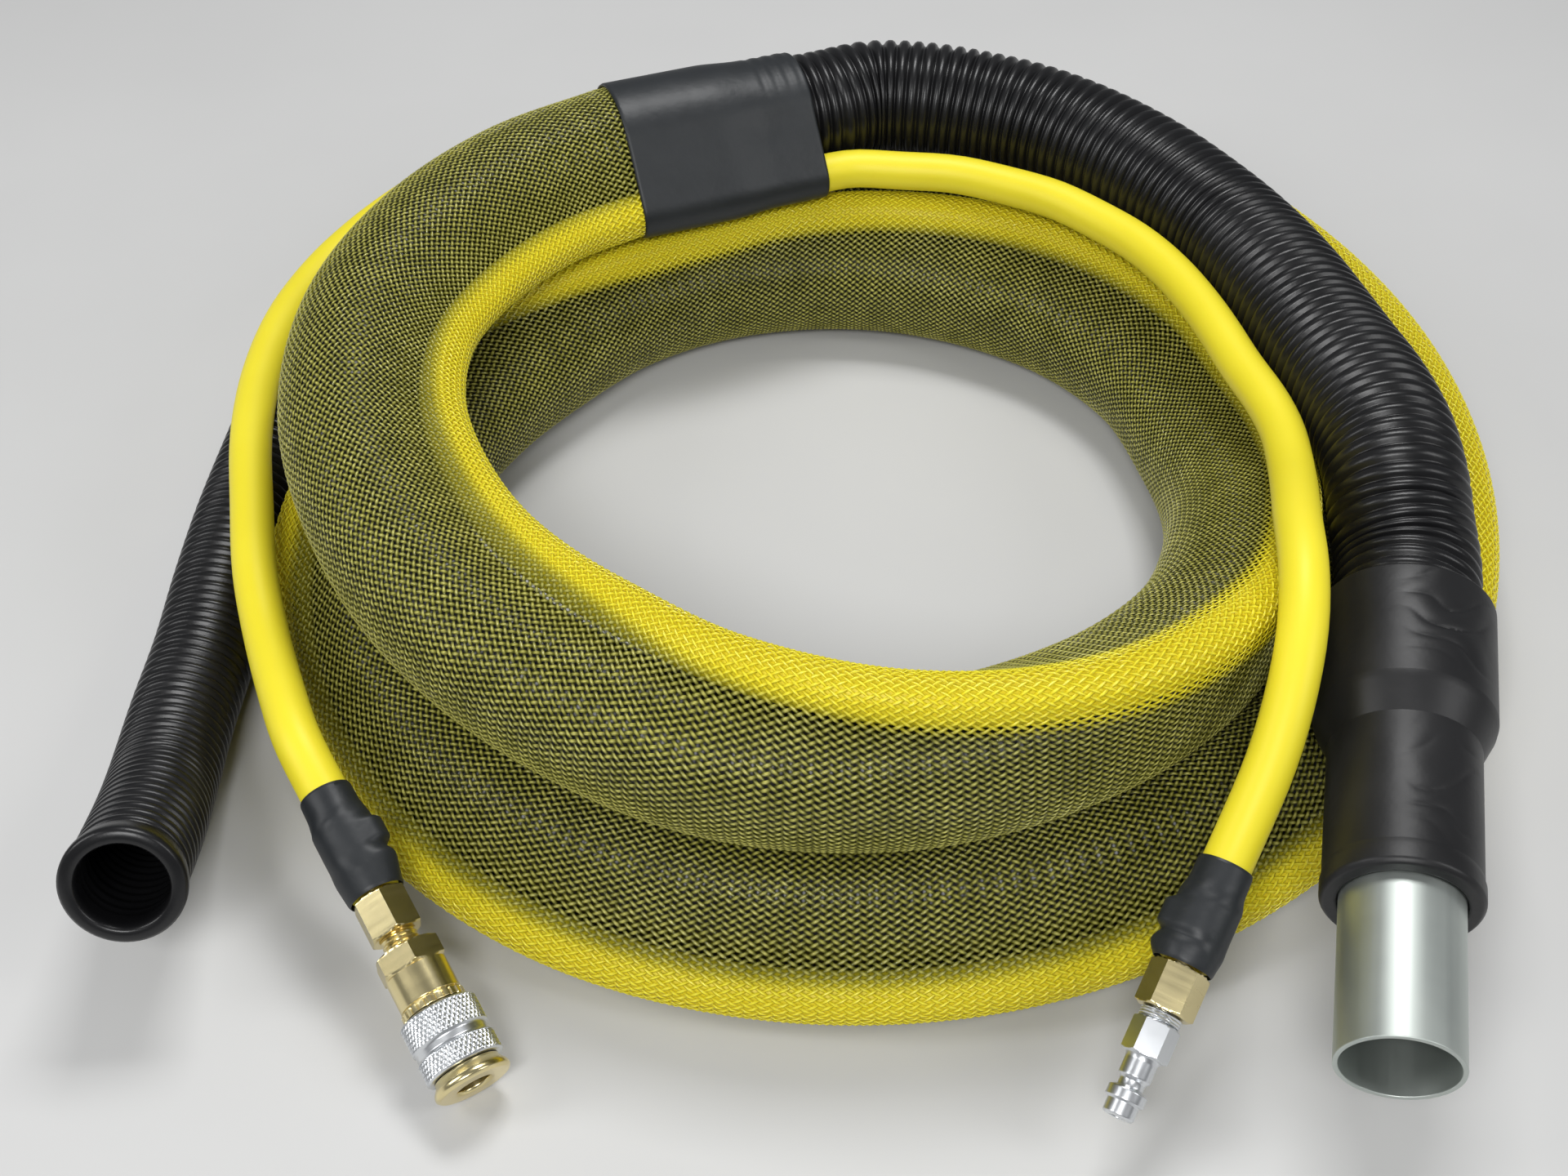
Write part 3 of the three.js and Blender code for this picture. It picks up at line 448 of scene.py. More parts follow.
AIR_RADIUS, AIR_BORE = 0.0075, 0.0047
PLUG_TOP, PLUG_TIP = np.array([.118, -.209, .060]), np.array([.084, -.269, .026])
COUPLER_TOP, COUPLER_TIP = np.array([-.1515, -.170, .045]), np.array([-.100, -.252, .012])
PLUG_SHRINK, COUPLER_SHRINK, SHRINK_PAST_HOSE = 0.032, 0.037, 0.001
AIR_POINTS, AIR_ROWS, AIR_SIDES = 620, 560, 32
plug_axis, coupler_axis = unit(PLUG_TIP - PLUG_TOP), unit(COUPLER_TIP - COUPLER_TOP)
plug_tail = [
    c1_start + HOSE_SPACING * c1_e, c1_start - 0.012 * c1_t + HOSE_SPACING * c1_e,
    (.037, .1255, .0755), (.058, .1225, .076), (.078, .1145, .076), (.096, .1035, .077), (.111, .089, .0775),
    (.124, .072, .079), (.134, .053, .080), (.141, .0335, .081), (.146, .013, .0825), (.1505, -.0085, .0835),
    (.1553, -.029, .0855), (.1575, -.047, .087), (.1555, -.071, .0917), (.149, -.1085, .103),
    (.146, -.1327, .1062), (.143, -.1525, .1014), (.1383, -.1697, .0919), (.1318, -.1857, .0794),
    *(PLUG_TOP + reach * plug_axis for reach in (0, PLUG_SHRINK / 2, PLUG_SHRINK - SHRINK_PAST_HOSE)),
]
coupler_tail = [
    c2_end + HOSE_SPACING * c2_e, c2_end + 0.020 * c2_t + HOSE_SPACING * c2_e,
    (-.170, .139, .049), (-.190, .111, .046), (-.200, .085, .046), (-.205, .060, .047), (-.207, .028, .047),
    (-.204, -.006, .048), (-.197, -.042, .0485), (-.190, -.075, .048), (-.181, -.104, .0465),
    (-.1695, -.135, .050),
    *(
        COUPLER_TOP + reach * coupler_axis
        for reach in (-0.020, 0, COUPLER_SHRINK / 2, COUPLER_SHRINK - SHRINK_PAST_HOSE)
    ),
]
both = smooth(np.hstack([sleeve_route, sleeve_sides]))
centre_curve, side_curve = both[:, :3], both[:, 3:]
t = directions(centre_curve)
side_curve = unit(side_curve - t * (side_curve * t).sum(1, keepdims=True))
air_curve = np.vstack([
    smooth(plug_tail)[:0:-1], centre_curve[:-1] + HOSE_SPACING * side_curve[:-1], smooth(coupler_tail),
]) + COIL_CENTRE
air_curve, = spaced(air_curve, np.linspace(0, run_length(air_curve), AIR_POINTS))
air_curve[1:-1] = (air_curve[:-2] + 2 * air_curve[1:-1] + air_curve[2:]) / 4
air_length = run_length(air_curve)
air_places = np.linspace(0, air_length, AIR_ROWS)

hose_yellow = Paint("yellow_hose")
cloud = hose_yellow.noise(18.0, detail=4)
skin_grain = hose_yellow.noise(1500.0, detail=2)
hose_yellow.finish(
    base_color=hose_yellow.mix(cloud, (0.78, 0.66, 0.02), (0.88, 0.76, 0.04)),
    roughness=cloud * 0.10 + 0.42,
    normal=hose_yellow.bump(skin_grain, 0.06, 0.0002),
    subsurface_weight=0.15,
    subsurface_radius=(0.004, 0.003, 0.0005),
    specular_ior_level=0.35,
)
air_skins = [(air_places, np.full(len(air_places), r)) for r in (AIR_RADIUS, AIR_BORE)]
air_hose = show(
    "air_hose_smooth", pipe_mesh("air_hose_smooth", air_curve, *air_skins, AIR_SIDES),
    hose_yellow, ["air_hose"],
)

# ---------------------------------------------------------------- braided sleeve
# Yellow thread braided over both hoses. Two families of flat yarns wind round them in opposite ways and pass
# over and under each other. Its section is the outline round two circles, and it is cut into pieces along it.

SLEEVE_CLEARANCE, SLEEVE_WALL, SLEEVE_IN_COLLAR = 0.00055, 0.0008, 0.036
YARNS, BRAID_PIECES = 72, 12
BRAID_ANGLE = math.radians(33)
BRAID_FLOOR = 0.00046  # the middle of the lowest yarns lies this far above the floor
YARN_LIFT, YARN_THICK, YARN_EDGE = 0.00026, 0.00020, 0.00004
YARN_SHARE = 0.25  # half a yarn's width, as a share of the step to the next yarn
AIR_FROM, AIR_BLEND = 0.0285, 0.004  # from here across the section the yarns begin to lie on the air hose


def outline(big, small, count):
    """Points at equal steps round both circles, the way out at each of them, and the whole way round."""
    b = math.acos((big - small) / HOSE_SPACING)
    arcs = [2 * (math.pi - b) * big, math.sqrt(HOSE_SPACING ** 2 - (big - small) ** 2), 2 * b * small]
    total = arcs[0] + 2 * arcs[1] + arcs[2]
    found, outward = [], []
    for s in np.arange(count) / count * total:
        if s < arcs[0]:
            a = b + s / big
            c, r = 0.0, big
        elif s < arcs[0] + arcs[1]:
            f = (s - arcs[0]) / arcs[1]
            a = -b
            c, r = f * HOSE_SPACING, big + f * (small - big)
        elif s < arcs[0] + arcs[1] + arcs[2]:
            a = -b + (s - arcs[0] - arcs[1]) / small
            c, r = HOSE_SPACING, small
        else:
            f = (s - arcs[0] - arcs[1] - arcs[2]) / arcs[1]
            a = b
            c, r = (1 - f) * HOSE_SPACING, small + f * (big - small)
        found.append((c + r * math.cos(a), r * math.sin(a)))
        outward.append((math.cos(a), math.sin(a)))
    return np.array(found), np.array(outward), total


half_wall = SLEEVE_CLEARANCE + SLEEVE_WALL / 2
section, section_out, perimeter = outline(SUCTION_RADIUS + half_wall, AIR_RADIUS + half_wall, 2 * YARNS)
cell = perimeter / (2 * YARNS) / math.tan(BRAID_ANGLE)
sleeve_curve = np.vstack([[c1_end - SLEEVE_IN_COLLAR * c1_t], centre_curve])
sleeve_side = np.vstack([[c1_e], side_curve])
rows = int(run_length(sleeve_curve) / cell)
braid_c, braid_e = spaced(sleeve_curve, np.arange(rows) * cell, sleeve_side)
braid_t = directions(braid_c)
braid_e = unit(braid_e - braid_t * (braid_e * braid_t).sum(1, keepdims=True))
braid_f = np.cross(braid_t, braid_e)


def on_section(points):
    return points[None, :, :1] * braid_e[:, None] + points[None, :, 1:] * braid_f[:, None]


surface = braid_c[:, None] + on_section(section) + COIL_CENTRE
surface[..., 2] = np.maximum(surface[..., 2], BRAID_FLOOR)
outward = on_section(section_out)


def yarn_family(turn):
    """How far each point of one family's yarns lies on the air hose, and the yarn's four corners there."""
    m = np.arange(rows)[:, None]
    place = (2 * np.arange(YARNS)[None] + turn * m) % (2 * YARNS)
    at, out = surface[m, place], outward[m, place]
    wide = np.cross(out, directions(at))
    beside = surface[m, (place + 2) % (2 * YARNS)] - at
    width = np.abs((beside * wide).sum(-1, keepdims=True)) * YARN_SHARE
    middle = at + out * np.where((m + (turn > 0)) % 2 == 0, YARN_LIFT, -YARN_LIFT)[..., None]
    return np.clip((section[place, 0] - AIR_FROM) / AIR_BLEND, 0, 1), np.stack([
        middle + wide * width - out * YARN_EDGE, middle + out * YARN_THICK,
        middle - wide * width - out * YARN_EDGE, middle - out * YARN_THICK,
    ], 2)


braid = Paint("yellow_braid")
across = braid.node("SeparateXYZ", {"Vector": braid.node("UVMap")})
filament = (across * 3.0 * 2 * math.pi).maths("COSINE") * 0.5 + 0.5
# crest is 1 on the rows where a yarn passes over; a glint is painted there below.
crest = (across.part("Y") * math.pi).maths("COSINE") * 0.5 + 0.5
tone = braid.noise(120.0, detail=2)
over_air = braid.node("Attribute", output="Fac", attribute_name="over_air")
# Painted light: each yarn's crest, where it passes over, gets a painted cream glint, with lighter stripes
# along
# hose seen through it; over the air hose it is painted bright yellow, painted light from the lit yellow hose.
# its filaments and a random tone. Over the black hose the yarn is painted dark, a painted shade for the black
painted_glint_and_strands = (crest * 0.9 + filament * 0.35 + tone * 0.4 - 0.5).clamped()
painted_shade_over_black_hose = braid.mix(painted_glint_and_strands ** 2.2, (0.13, 0.13, 0.0005), (0.88, 0.83, 0.22))
painted_light_over_air_hose = braid.mix(painted_glint_and_strands, (1.0, 0.82, 0.002), (1.0, 0.92, 0.06))
braid.finish(
    base_color=braid.mix(over_air, painted_shade_over_black_hose, painted_light_over_air_hose),
    roughness=0.36 - painted_glint_and_strands * 0.14,
    alpha=painted_glint_and_strands * 0.50 + over_air * 0.15 + 0.36,
    normal=braid.bump(filament, 0.5, 0.0002),
    specular_ior_level=0.35,
    coat_weight=0.45,
    coat_roughness=0.10,
)
families = [yarn_family(1), yarn_family(-1)]
piece_rows = np.linspace(0, rows - 1, BRAID_PIECES + 1).astype(int)
for number, (first, last) in enumerate(zip(piece_rows, piece_rows[1:]), 1):
    verts, faces, uvs, overs = [], [], [], []
    for family, (over, corners) in enumerate(families):
        block = corners[first:last + 1]
        n = block.shape[0]
        index = family * n * YARNS * 4 + np.arange(n * YARNS * 4).reshape(n, YARNS, 4)
        a, b = index[:-1], index[1:]
        u0 = np.broadcast_to([0.0, 0.5, 1.0, 0.5], a.shape)
        u1 = np.roll(u0, -1, 2)
        v = np.broadcast_to(first + 1 - family + np.arange(n - 1)[:, None, None], a.shape)
        faces.append(np.stack([a, np.roll(a, -1, 2), np.roll(b, -1, 2), b], -1).reshape(-1, 4))
        uvs.append(np.stack([u0, v, u1, v, u1, v + 1, u0, v + 1], -1).reshape(-1, 2))
        verts.append(block.reshape(-1, 3))
        overs.append(np.repeat(over[first:last + 1].ravel(), 4))
    verts, faces = np.concatenate(verts), np.concatenate(faces)
    mesh = bpy.data.meshes.new(f"braid_{number}")
    mesh.vertices.add(len(verts))
    mesh.vertices.foreach_set("co", verts.ravel())
    mesh.loops.add(len(faces) * 4)
    mesh.loops.foreach_set("vertex_index", faces.ravel())
    mesh.polygons.add(len(faces))
    mesh.polygons.foreach_set("loop_start", np.arange(len(faces)) * 4)
    mesh.uv_layers.new(name="UVMap").data.foreach_set("uv", np.concatenate(uvs).ravel())
    mesh.attributes.new("over_air", "FLOAT", "POINT").data.foreach_set("value", np.concatenate(overs))
    mesh.update(calc_edges=True)
    mesh.validate()
    show(f"braid_{number}", mesh, braid, ["braided_sleeve"])

# ---------------------------------------------------------------- heat-shrink collars
# One skin round both hoses at each end of the sleeve. It steps down from the braid to the bare hoses, where
# the suction hose's ribs show faintly through it, and it is drawn in a little between the two hoses.

COLLAR_WALL, COLLAR_STEP, COLLAR_SIDES = 0.0012, 0.020, 128
COLLAR_ROW = SUCTION_PITCH / 6
COLLAR_RIM, COLLAR_RIM_DROP = 0.0006, 0.0004
BRIDGE_AT, BRIDGE_HALF, BRIDGE_DEPTH = 0.55 * HOSE_SPACING, 0.006, 0.0005
RIBS_SHOW, RIBS_SHOW_TO = 0.00035, 0.012
over_sleeve = SLEEVE_CLEARANCE + SLEEVE_WALL + GAP + 0.0001
over_hose = GAP + 0.0002

shrink = Paint("heat_shrink")
wrinkle = shrink.noise(60.0, detail=3)
fine = shrink.noise(700.0, detail=3)
shrink.finish(
    base_color=shrink.mix(wrinkle, (0.011, 0.013, 0.015), (0.022, 0.025, 0.028)),
    roughness=wrinkle * 0.14 + 0.38,
    normal=shrink.bump(wrinkle + fine * 0.08, 0.30, 0.0015),
    specular_ior_level=0.40,
)


def bell(away, half_width, power=2):
    """1 where away is 0, and falling to both sides."""
    return np.exp(-(away / half_width) ** power)


def eased_step(share):
    share = np.clip(share, 0, 1)
    return share * share * (3 - 2 * share)


def collar(name, node, sleeve_end, line, e, length, hose_radius, pitch):
    """A collar from its sleeve end, along line, to its bare end."""
    f = np.cross(line, e)
    edge = SLEEVE_IN_COLLAR + GAP + 0.001
    step_end = edge + COLLAR_STEP
    places = np.arange(0, length, COLLAR_ROW)
    places = np.concatenate([places[:-1], [length - 0.0005, length]])
    skins = []
    for wall in (COLLAR_WALL, 0.0):
        rings = []
        for place, s in zip(places, eased_step((places - edge) / COLLAR_STEP)):
            size = over_sleeve + (over_hose - over_sleeve) * s + wall
            big = SUCTION_RADIUS + (hose_radius - SUCTION_RADIUS) * s + size
            points, out, _ = outline(big, AIR_RADIUS + size, COLLAR_SIDES)
            if wall:
                rim = min(place, length - place, COLLAR_RIM) / COLLAR_RIM
                bridge = bell(points[:, 0] - BRIDGE_AT, BRIDGE_HALF)
                ripple = 0.5 - 0.5 * math.cos(2 * math.pi * (place - step_end) / pitch)
                near_hose = np.clip(1 - points[:, 0] / RIBS_SHOW_TO, 0, 1)
                inset = BRIDGE_DEPTH * bridge * s + RIBS_SHOW * ripple * (place > step_end) * near_hose
                points = points - out * (inset + COLLAR_RIM_DROP * (1 - rim))[:, None]
            world = sleeve_end + place * line + points[:, :1] * e + points[:, 1:] * f + COIL_CENTRE
            world[:, 2] = np.maximum(world[:, 2], GAP)
            rings.append(world)
        skins.append(rings)
    mesh = ring_mesh(name, np.concatenate([skins[0], skins[1][::-1]]), closed=True)
    return show(name, mesh, shrink, [node])


c1_length = float(np.linalg.norm(c1_end - c1_start))
c2_length = float(np.linalg.norm(c2_end - c2_start))
collar_1 = collar(
    "collar_vacuum_end", "vacuum_end_collar", c1_end, -c1_t, c1_e, c1_length, SUCTION_RADIUS, SUCTION_PITCH,
)
collar_2 = collar(
    "collar_tool_end", "tool_end_collar", c2_start, c2_t, c2_e, c2_length, TOOL_RADIUS, TOOL_PITCH,
)

# ---------------------------------------------------------------- turned pieces
# Pieces on one line share an Axle, whose y runs along the line. Profiles are (radius, place) in millimetres,
# outside forward and then bore backward. Each corner is eased so that it catches the light.

SHARP_CORNER = math.radians(38)


def eased(profile, ease):
    """The profile with its corners rounded off, except those on the line and those that hardly turn."""
    p = np.asarray(profile, float)
    found = []
    for i, here in enumerate(p):
        back, on = p[i - 1] - here, p[(i + 1) % len(p)] - here
        lengths = np.linalg.norm(back), np.linalg.norm(on)
        turn = abs(back[0] * on[1] - back[1] * on[0]) / (lengths[0] * lengths[1])
        if turn < 0.25 or here[0] == 0:
            found.append(here)
            continue
        cut = min(ease, 0.35 * lengths[0], 0.35 * lengths[1])
        a, b = here + back / lengths[0] * cut, here + on / lengths[1] * cut
        found += [(1 - u) ** 2 * a + 2 * u * (1 - u) * here + u ** 2 * b for u in (0.0, 0.33, 0.67, 1.0)]
    return np.array(found)


class Axle:
    """A line from a point in a direction, with the pieces turned on it."""

    def __init__(self, top, axis):
        turn = Vector((0, 1, 0)).rotation_difference(Vector(axis)).to_matrix().to_4x4()
        self.axis = np.asarray(axis)
        self.top = np.asarray(top) + COIL_CENTRE
        self.matrix = Matrix.Translation(Vector(self.top)) @ turn

    def at(self, place):
        return self.top + self.axis * place * 0.001

    def turned(self, name, profile, paint, nodes, sides=96, ease=0.25, shapes=(), **shown):
        """Turns a profile into a piece, and then lets each shape change its radius at (radius, y, angle)."""
        p = eased(profile, ease)
        a = np.linspace(0, 2 * math.pi, sides, endpoint=False)[None]
        y = np.broadcast_to(p[:, 1:], (len(p), sides))
        r = np.broadcast_to(p[:, :1], y.shape)
        for shape in shapes:
            r = shape(r, y, a)
        rings = np.stack([r * np.cos(a), y, -r * np.sin(a)], -1) * 0.001
        mesh = ring_mesh(name, rings, closed=True)
        mesh.set_sharp_from_angle(angle=SHARP_CORNER)
        piece = show(name, mesh, paint, nodes, matrix=self.matrix, **shown)
        piece.modifiers.new("weighted_normals", "WEIGHTED_NORMAL").keep_sharp = True
        return piece


# ---------------------------------------------------------------- rubber cuff
# Black moulded rubber in two steps, wide over the hose and narrow over the tube, with soft corners. It is
# pushed on both, and the rubber creases on one side, where it is drawn over them.

CUFF_LENGTH, CUFF_WIDE, CUFF_NARROW, TUBE_IN_CUFF = 106, 27, 22.4, 56
CUFF_BORE, TUBE_RADIUS, TUBE_BORE, TUBE_FIT = 23.6, 17.5, 16, 0.3
CREASE_SIDE, CREASE_HALF, CREASE_DEPTH = 3.42, 0.50, 0.8
cuff_stop = (HOSE_IN_CUFF + GAP) * 1000
tube_from = CUFF_LENGTH - TUBE_IN_CUFF
tube_seat, tube_socket = tube_from - TUBE_FIT, TUBE_RADIUS + TUBE_FIT
cuff_axle = Axle(CUFF_FACE, cuff_axis)
rubber = Paint("cuff_rubber")
marks = rubber.noise(45.0, detail=4)
pores = rubber.noise(800.0, detail=2)
rubber.finish(
    base_color=rubber.mix(marks, (0.006, 0.006, 0.0065), (0.014, 0.014, 0.015)),
    roughness=marks * 0.16 + 0.36,
    normal=rubber.bump(marks + pores * 0.05, 0.25, 0.0012),
    specular_ior_level=0.40,
)
cuff_profile = [
    (CUFF_BORE, 0), (CUFF_WIDE - 1.2, 0), (CUFF_WIDE, 1.4),
    *[(CUFF_WIDE, y) for y in np.arange(2.5, 42.5, 0.5)],
    (CUFF_WIDE - 0.6, 44.5), (CUFF_NARROW + 1.1, 51), *[(CUFF_NARROW, y) for y in np.arange(53.5, 98, 0.6)],
    (CUFF_NARROW + 0.5, 100), (CUFF_NARROW + 0.5, 104.6), (CUFF_NARROW - 0.6, CUFF_LENGTH),
    (tube_socket, CUFF_LENGTH), (tube_socket, tube_seat), (TUBE_BORE, tube_seat), (TUBE_BORE, cuff_stop),
    (CUFF_BORE, cuff_stop),
]


def cuff_marks(r, y, a):
    """Wavy creases on one side, where the rubber is drawn over the hose and over the tube."""
    stretch = bell(y - 18, 15, 4) + 0.6 * bell(y - 76, 17, 4)
    wave = y * 0.34 + 1.9 * np.sin(2.6 * a + 0.10 * y) + 0.8 * np.sin(6.1 * a - 0.23 * y)
    crease = 1 - np.sqrt(np.abs(np.sin(wave)))
    depth = CREASE_DEPTH * bell(a - CREASE_SIDE, CREASE_HALF, 4) * stretch * crease
    return r - np.where((r > 22) & (y > 2) & (y < 98), depth, 0.0)


cuff_axle.turned(
    "cuff_moulded", cuff_profile, rubber, ["rubber_cuff"], 192, 1.0, [cuff_marks],
)

# ---------------------------------------------------------------- steel tube
# Steel tube of 35 mm outside, with a satin finish of fine drawn lines along it. It is pushed into the cuff
# up to a shoulder, and its open end takes a machine's pipe or port.

TUBE_LENGTH = 106.5
steel = Paint("tube_steel")
drawn = steel.noise(260.0, detail=3, stretch=(1, 0.02, 1))
smudge = steel.noise(22.0, detail=4)
steel.finish(
    base_color=steel.mix(smudge, (0.44, 0.48, 0.46), (0.62, 0.66, 0.62)),
    metallic=1.0,
    roughness=drawn * 0.14 + smudge * 0.16 + 0.34,
    normal=steel.bump(drawn, 0.05, 0.0002),
)
tube_to = tube_from + TUBE_LENGTH
cuff_axle.turned(
    "tube_drawn",
    [(TUBE_BORE, tube_from), (TUBE_RADIUS, tube_from), (TUBE_RADIUS, tube_to), (TUBE_BORE, tube_to)],
    steel, ["steel_tube"], 128, 0.4,
)

# ---------------------------------------------------------------- reducer
# Moulded plastic sleeve in two steps that joins the suction hose to the tool hose. Each hose is pushed on its
# own step up to a flange between them, and the second collar hides all of it.

REDUCER_BORE, REDUCER_REACH, REDUCER_FIT, FLANGE_RADIUS = 11.5, 22, 0.4, 19.5

moulded = Paint("reducer_plastic")
flow = moulded.noise(90.0, detail=3)
moulded.finish(
    base_color=moulded.mix(flow, (0.030, 0.030, 0.032), (0.045, 0.045, 0.048)),
    roughness=flow * 0.2 + 0.35,
)
wide_step, narrow_step = SUCTION_BORE * 1000 - REDUCER_FIT, TOOL_BORE * 1000 - REDUCER_FIT
flange_from = (HOSE_IN_COLLAR + GAP) * 1000
flange_to = flange_from + REDUCER_FLANGE * 1000
wide_from, narrow_to = flange_from - REDUCER_REACH, flange_to + REDUCER_REACH
Axle(c2_start, c2_t).turned(
    "reducer_stepped",
    [
        (REDUCER_BORE, wide_from), (wide_step - 0.4, wide_from), (wide_step, wide_from + 1.2),
        (wide_step, flange_from), (FLANGE_RADIUS, flange_from), (FLANGE_RADIUS, flange_to),
        (narrow_step, flange_to), (narrow_step, narrow_to - 1.3), (narrow_step - 0.4, narrow_to),
        (REDUCER_BORE, narrow_to),
    ],
    moulded, ["hose_reducer"], ease=0.5, slot="black_hose",
)

# ---------------------------------------------------------------- the air hose's two ends
# Each has a brass hose tail with a barbed stem in the hose, an ear clamp and heat-shrink over both. The
# shrink is drawn tight over the clamp, so that its ear stands out as a lump.

CLAMP_AT, CLAMP_WIDTH, CLAMP_RADIUS, CLAMP_BORE, EAR_REACH, EAR_HALF = 16, 6, 8.65, 8.0, 10.8, 0.21
EAR_TURN = -math.pi / 2  # side of the hose that the ear is on
EAR_LUMP, SECOND_LUMP, CREASE_HEIGHTS, DENT_DEPTH = 2.3, 1.9, (0.14, 0.12), 0.8
TAIL_HEX, TAIL_BORE, STEM = 15.4, 2.5, 4.0
PLUG_TAIL, COUPLER_TAIL = (32.3, 46.3), (37.3, 51.1)  # from where to where the tails' hexagons are

brass = Paint("brass")
tarnish = brass.noise(45.0, detail=4)
lathe = brass.noise(500.0, detail=2, stretch=(0.05, 1, 0.05))
brass.finish(
    base_color=brass.mix(tarnish, (0.86, 0.76, 0.44), (0.72, 0.60, 0.30)),
    metallic=1.0,
    roughness=tarnish * 0.14 + lathe * 0.08 + 0.14,
    normal=brass.bump(lathe, 0.08, 0.0002),
)
plated = Paint("plated_steel")
haze = plated.noise(60.0, detail=4)
plated.finish(
    base_color=plated.mix(haze, (0.66, 0.68, 0.70), (0.78, 0.80, 0.82)),
    metallic=1.0,
    roughness=haze * 0.16 + 0.22,
)


def hexagon(flats, first, last):
    """Cuts a turned shape to a hexagon between two places."""
    def shape(r, y, a):
        apart = (a + math.radians(30)) % math.radians(60) - math.radians(30)
        flat = flats / 2 / np.cos(apart)
        return np.where((y > first - 0.05) & (y < last + 0.05), np.minimum(r, flat), r)
    return shape


def hex_corners(flats, first, last):
    """A hexagon's outside with both ends chamfered."""
    tip, rise = flats / 2 / math.cos(math.radians(30)), flats * 0.045
    return [(flats / 2 - 0.1, first), (tip, first + rise), (tip, last - rise), (flats / 2 - 0.1, last)]


def thread(radius, first, last, pitch, depth):
    """Rows of a male thread, and the shape that turns them into a helix."""
    def shape(r, y, a):
        phase = (y / pitch + a / (2 * math.pi)) % 1
        cut = np.abs(phase - 0.5) * 2
        inside = (y > first + 0.02) & (y < last - 0.02) & (r > radius - 0.05)
        return np.where(inside, r - depth * cut, r)
    return [(radius, y) for y in np.arange(first, last, pitch / 8)], shape


def from_ear(a):
    """The angle from the ear, between minus and plus half a turn."""
    return (a - EAR_TURN + math.pi) % (2 * math.pi) - math.pi


def shrink_tube(axle, name, node, length):
    """Heat-shrink that starts on the bare hose and is widest over the clamp and the ear."""
    rows = [0, 0.3, 0.8, 2, 4, 6, 7.5, 9, 10, 11, 12, 13, *np.arange(13.5, 25.5, 0.5), 26, 27, 28, 29.5]
    rows = [y for y in rows if y < length - 1.5] + [length - 1.2, length - 0.5, length]
    widen = np.interp(rows, [0, 7, 12, length - 6, length], [8.35, 8.55, 9.65, 9.65, 9.0])
    end = np.interp(rows, [0, 0.8, length - 0.8, length], [0.25, 0, 0, 0.3])
    outside = np.stack([widen - end, rows], 1)
    inside = np.stack([widen - 0.5, rows], 1)[::-1]

    def lump(r, y, a):
        apart = from_ear(a)
        over_ear = np.clip((y - CLAMP_AT + 2.5) / 2.5, 0, 1)
        over_ear = eased_step(over_ear * np.clip((CLAMP_AT + CLAMP_WIDTH + 2.5 - y) / 2.5, 0, 1))
        lumps = EAR_LUMP * over_ear / (1 + (apart / 0.45) ** 4)
        lumps = lumps + SECOND_LUMP * bell(y - 28, 3.0) * bell(apart - 0.10, 0.6)
        creases = CREASE_HEIGHTS[0] * np.sin(5 * a + y * 0.5) * bell(y - 27, 4)
        creases = creases + CREASE_HEIGHTS[1] * np.sin(6 * a - y * 0.8) * bell(y - 11, 2.8)
        return r + lumps + creases - DENT_DEPTH * bell(y - 24.5, 1.6) * bell(apart + 1.0, 0.9)
    profile = np.concatenate([outside, inside])
    return axle.turned(name, profile, shrink, [node], 128, 0.0, [lump])


def ear_clamp(axle, name, node):
    """A flat steel band round the hose, with one square ear."""
    def ear(r, y, a):
        apart = np.abs(from_ear(a))
        return np.where((apart < EAR_HALF) & (r > 8.3), EAR_REACH / np.cos(apart), r)
    first, last = CLAMP_AT, CLAMP_AT + CLAMP_WIDTH
    ring = [(CLAMP_BORE, first), (CLAMP_RADIUS, first), (CLAMP_RADIUS, last), (CLAMP_BORE, last)]
    return axle.turned(name, ring, plated, [node], 192, 0.15, [ear])


def stem(length):
    """The barbed stem of a hose tail, from its tip to the hexagon."""
    barbs = [(TAIL_BORE, length - 26), (3.4, length - 26)]
    for place in (length - 25, length - 20.5, length - 16, length - 11.5):
        barbs += [(3.6, place), (4.45, place + 3.6), (3.6, place + 4)]
    return barbs + [(STEM, length - 6), (STEM, length + 0.3)]


plug_axle, coupler_axle = Axle(PLUG_TOP, plug_axis), Axle(COUPLER_TOP, coupler_axis)
plug_shrink_length, coupler_shrink_length = PLUG_SHRINK * 1000, COUPLER_SHRINK * 1000
shrink_tube(plug_axle, "shrink_plug_end", "plug_heat_shrink", plug_shrink_length)
ear_clamp(plug_axle, "clamp_plug_end", "plug_ear_clamp")
plug_axle.turned(
    "tail_plug_end",
    [
        *stem(plug_shrink_length), *hex_corners(TAIL_HEX, *PLUG_TAIL), (5.3, PLUG_TAIL[1]), (5.3, 41),
        (TAIL_BORE, 41),
    ],
    brass, ["plug_hose_tail"], shapes=[hexagon(TAIL_HEX, *PLUG_TAIL)],
)
coupler_shrink = shrink_tube(
    coupler_axle, "shrink_coupler_end", "coupler_heat_shrink", coupler_shrink_length,
)
coupler_clamp = ear_clamp(coupler_axle, "clamp_coupler_end", "coupler_ear_clamp")
tail_thread, tail_helix = thread(5.9, 51.4, 61.3, 1.6, 0.7)
coupler_hose_tail = coupler_axle.turned(
    "tail_coupler_end",
    [
        *stem(coupler_shrink_length), *hex_corners(TAIL_HEX, *COUPLER_TAIL), (5.4, COUPLER_TAIL[1]),
        *tail_thread, (5.4, 61.5), (TAIL_BORE, 61.5),
    ],
    brass, ["coupler_hose_tail"], shapes=[hexagon(TAIL_HEX, *COUPLER_TAIL), tail_helix],
)

# ---------------------------------------------------------------- air plug
# Plated steel nipple, turned from hexagon bar and screwed into the plug end's hose tail: thread, hexagon,
# neck, locking ring and nose.

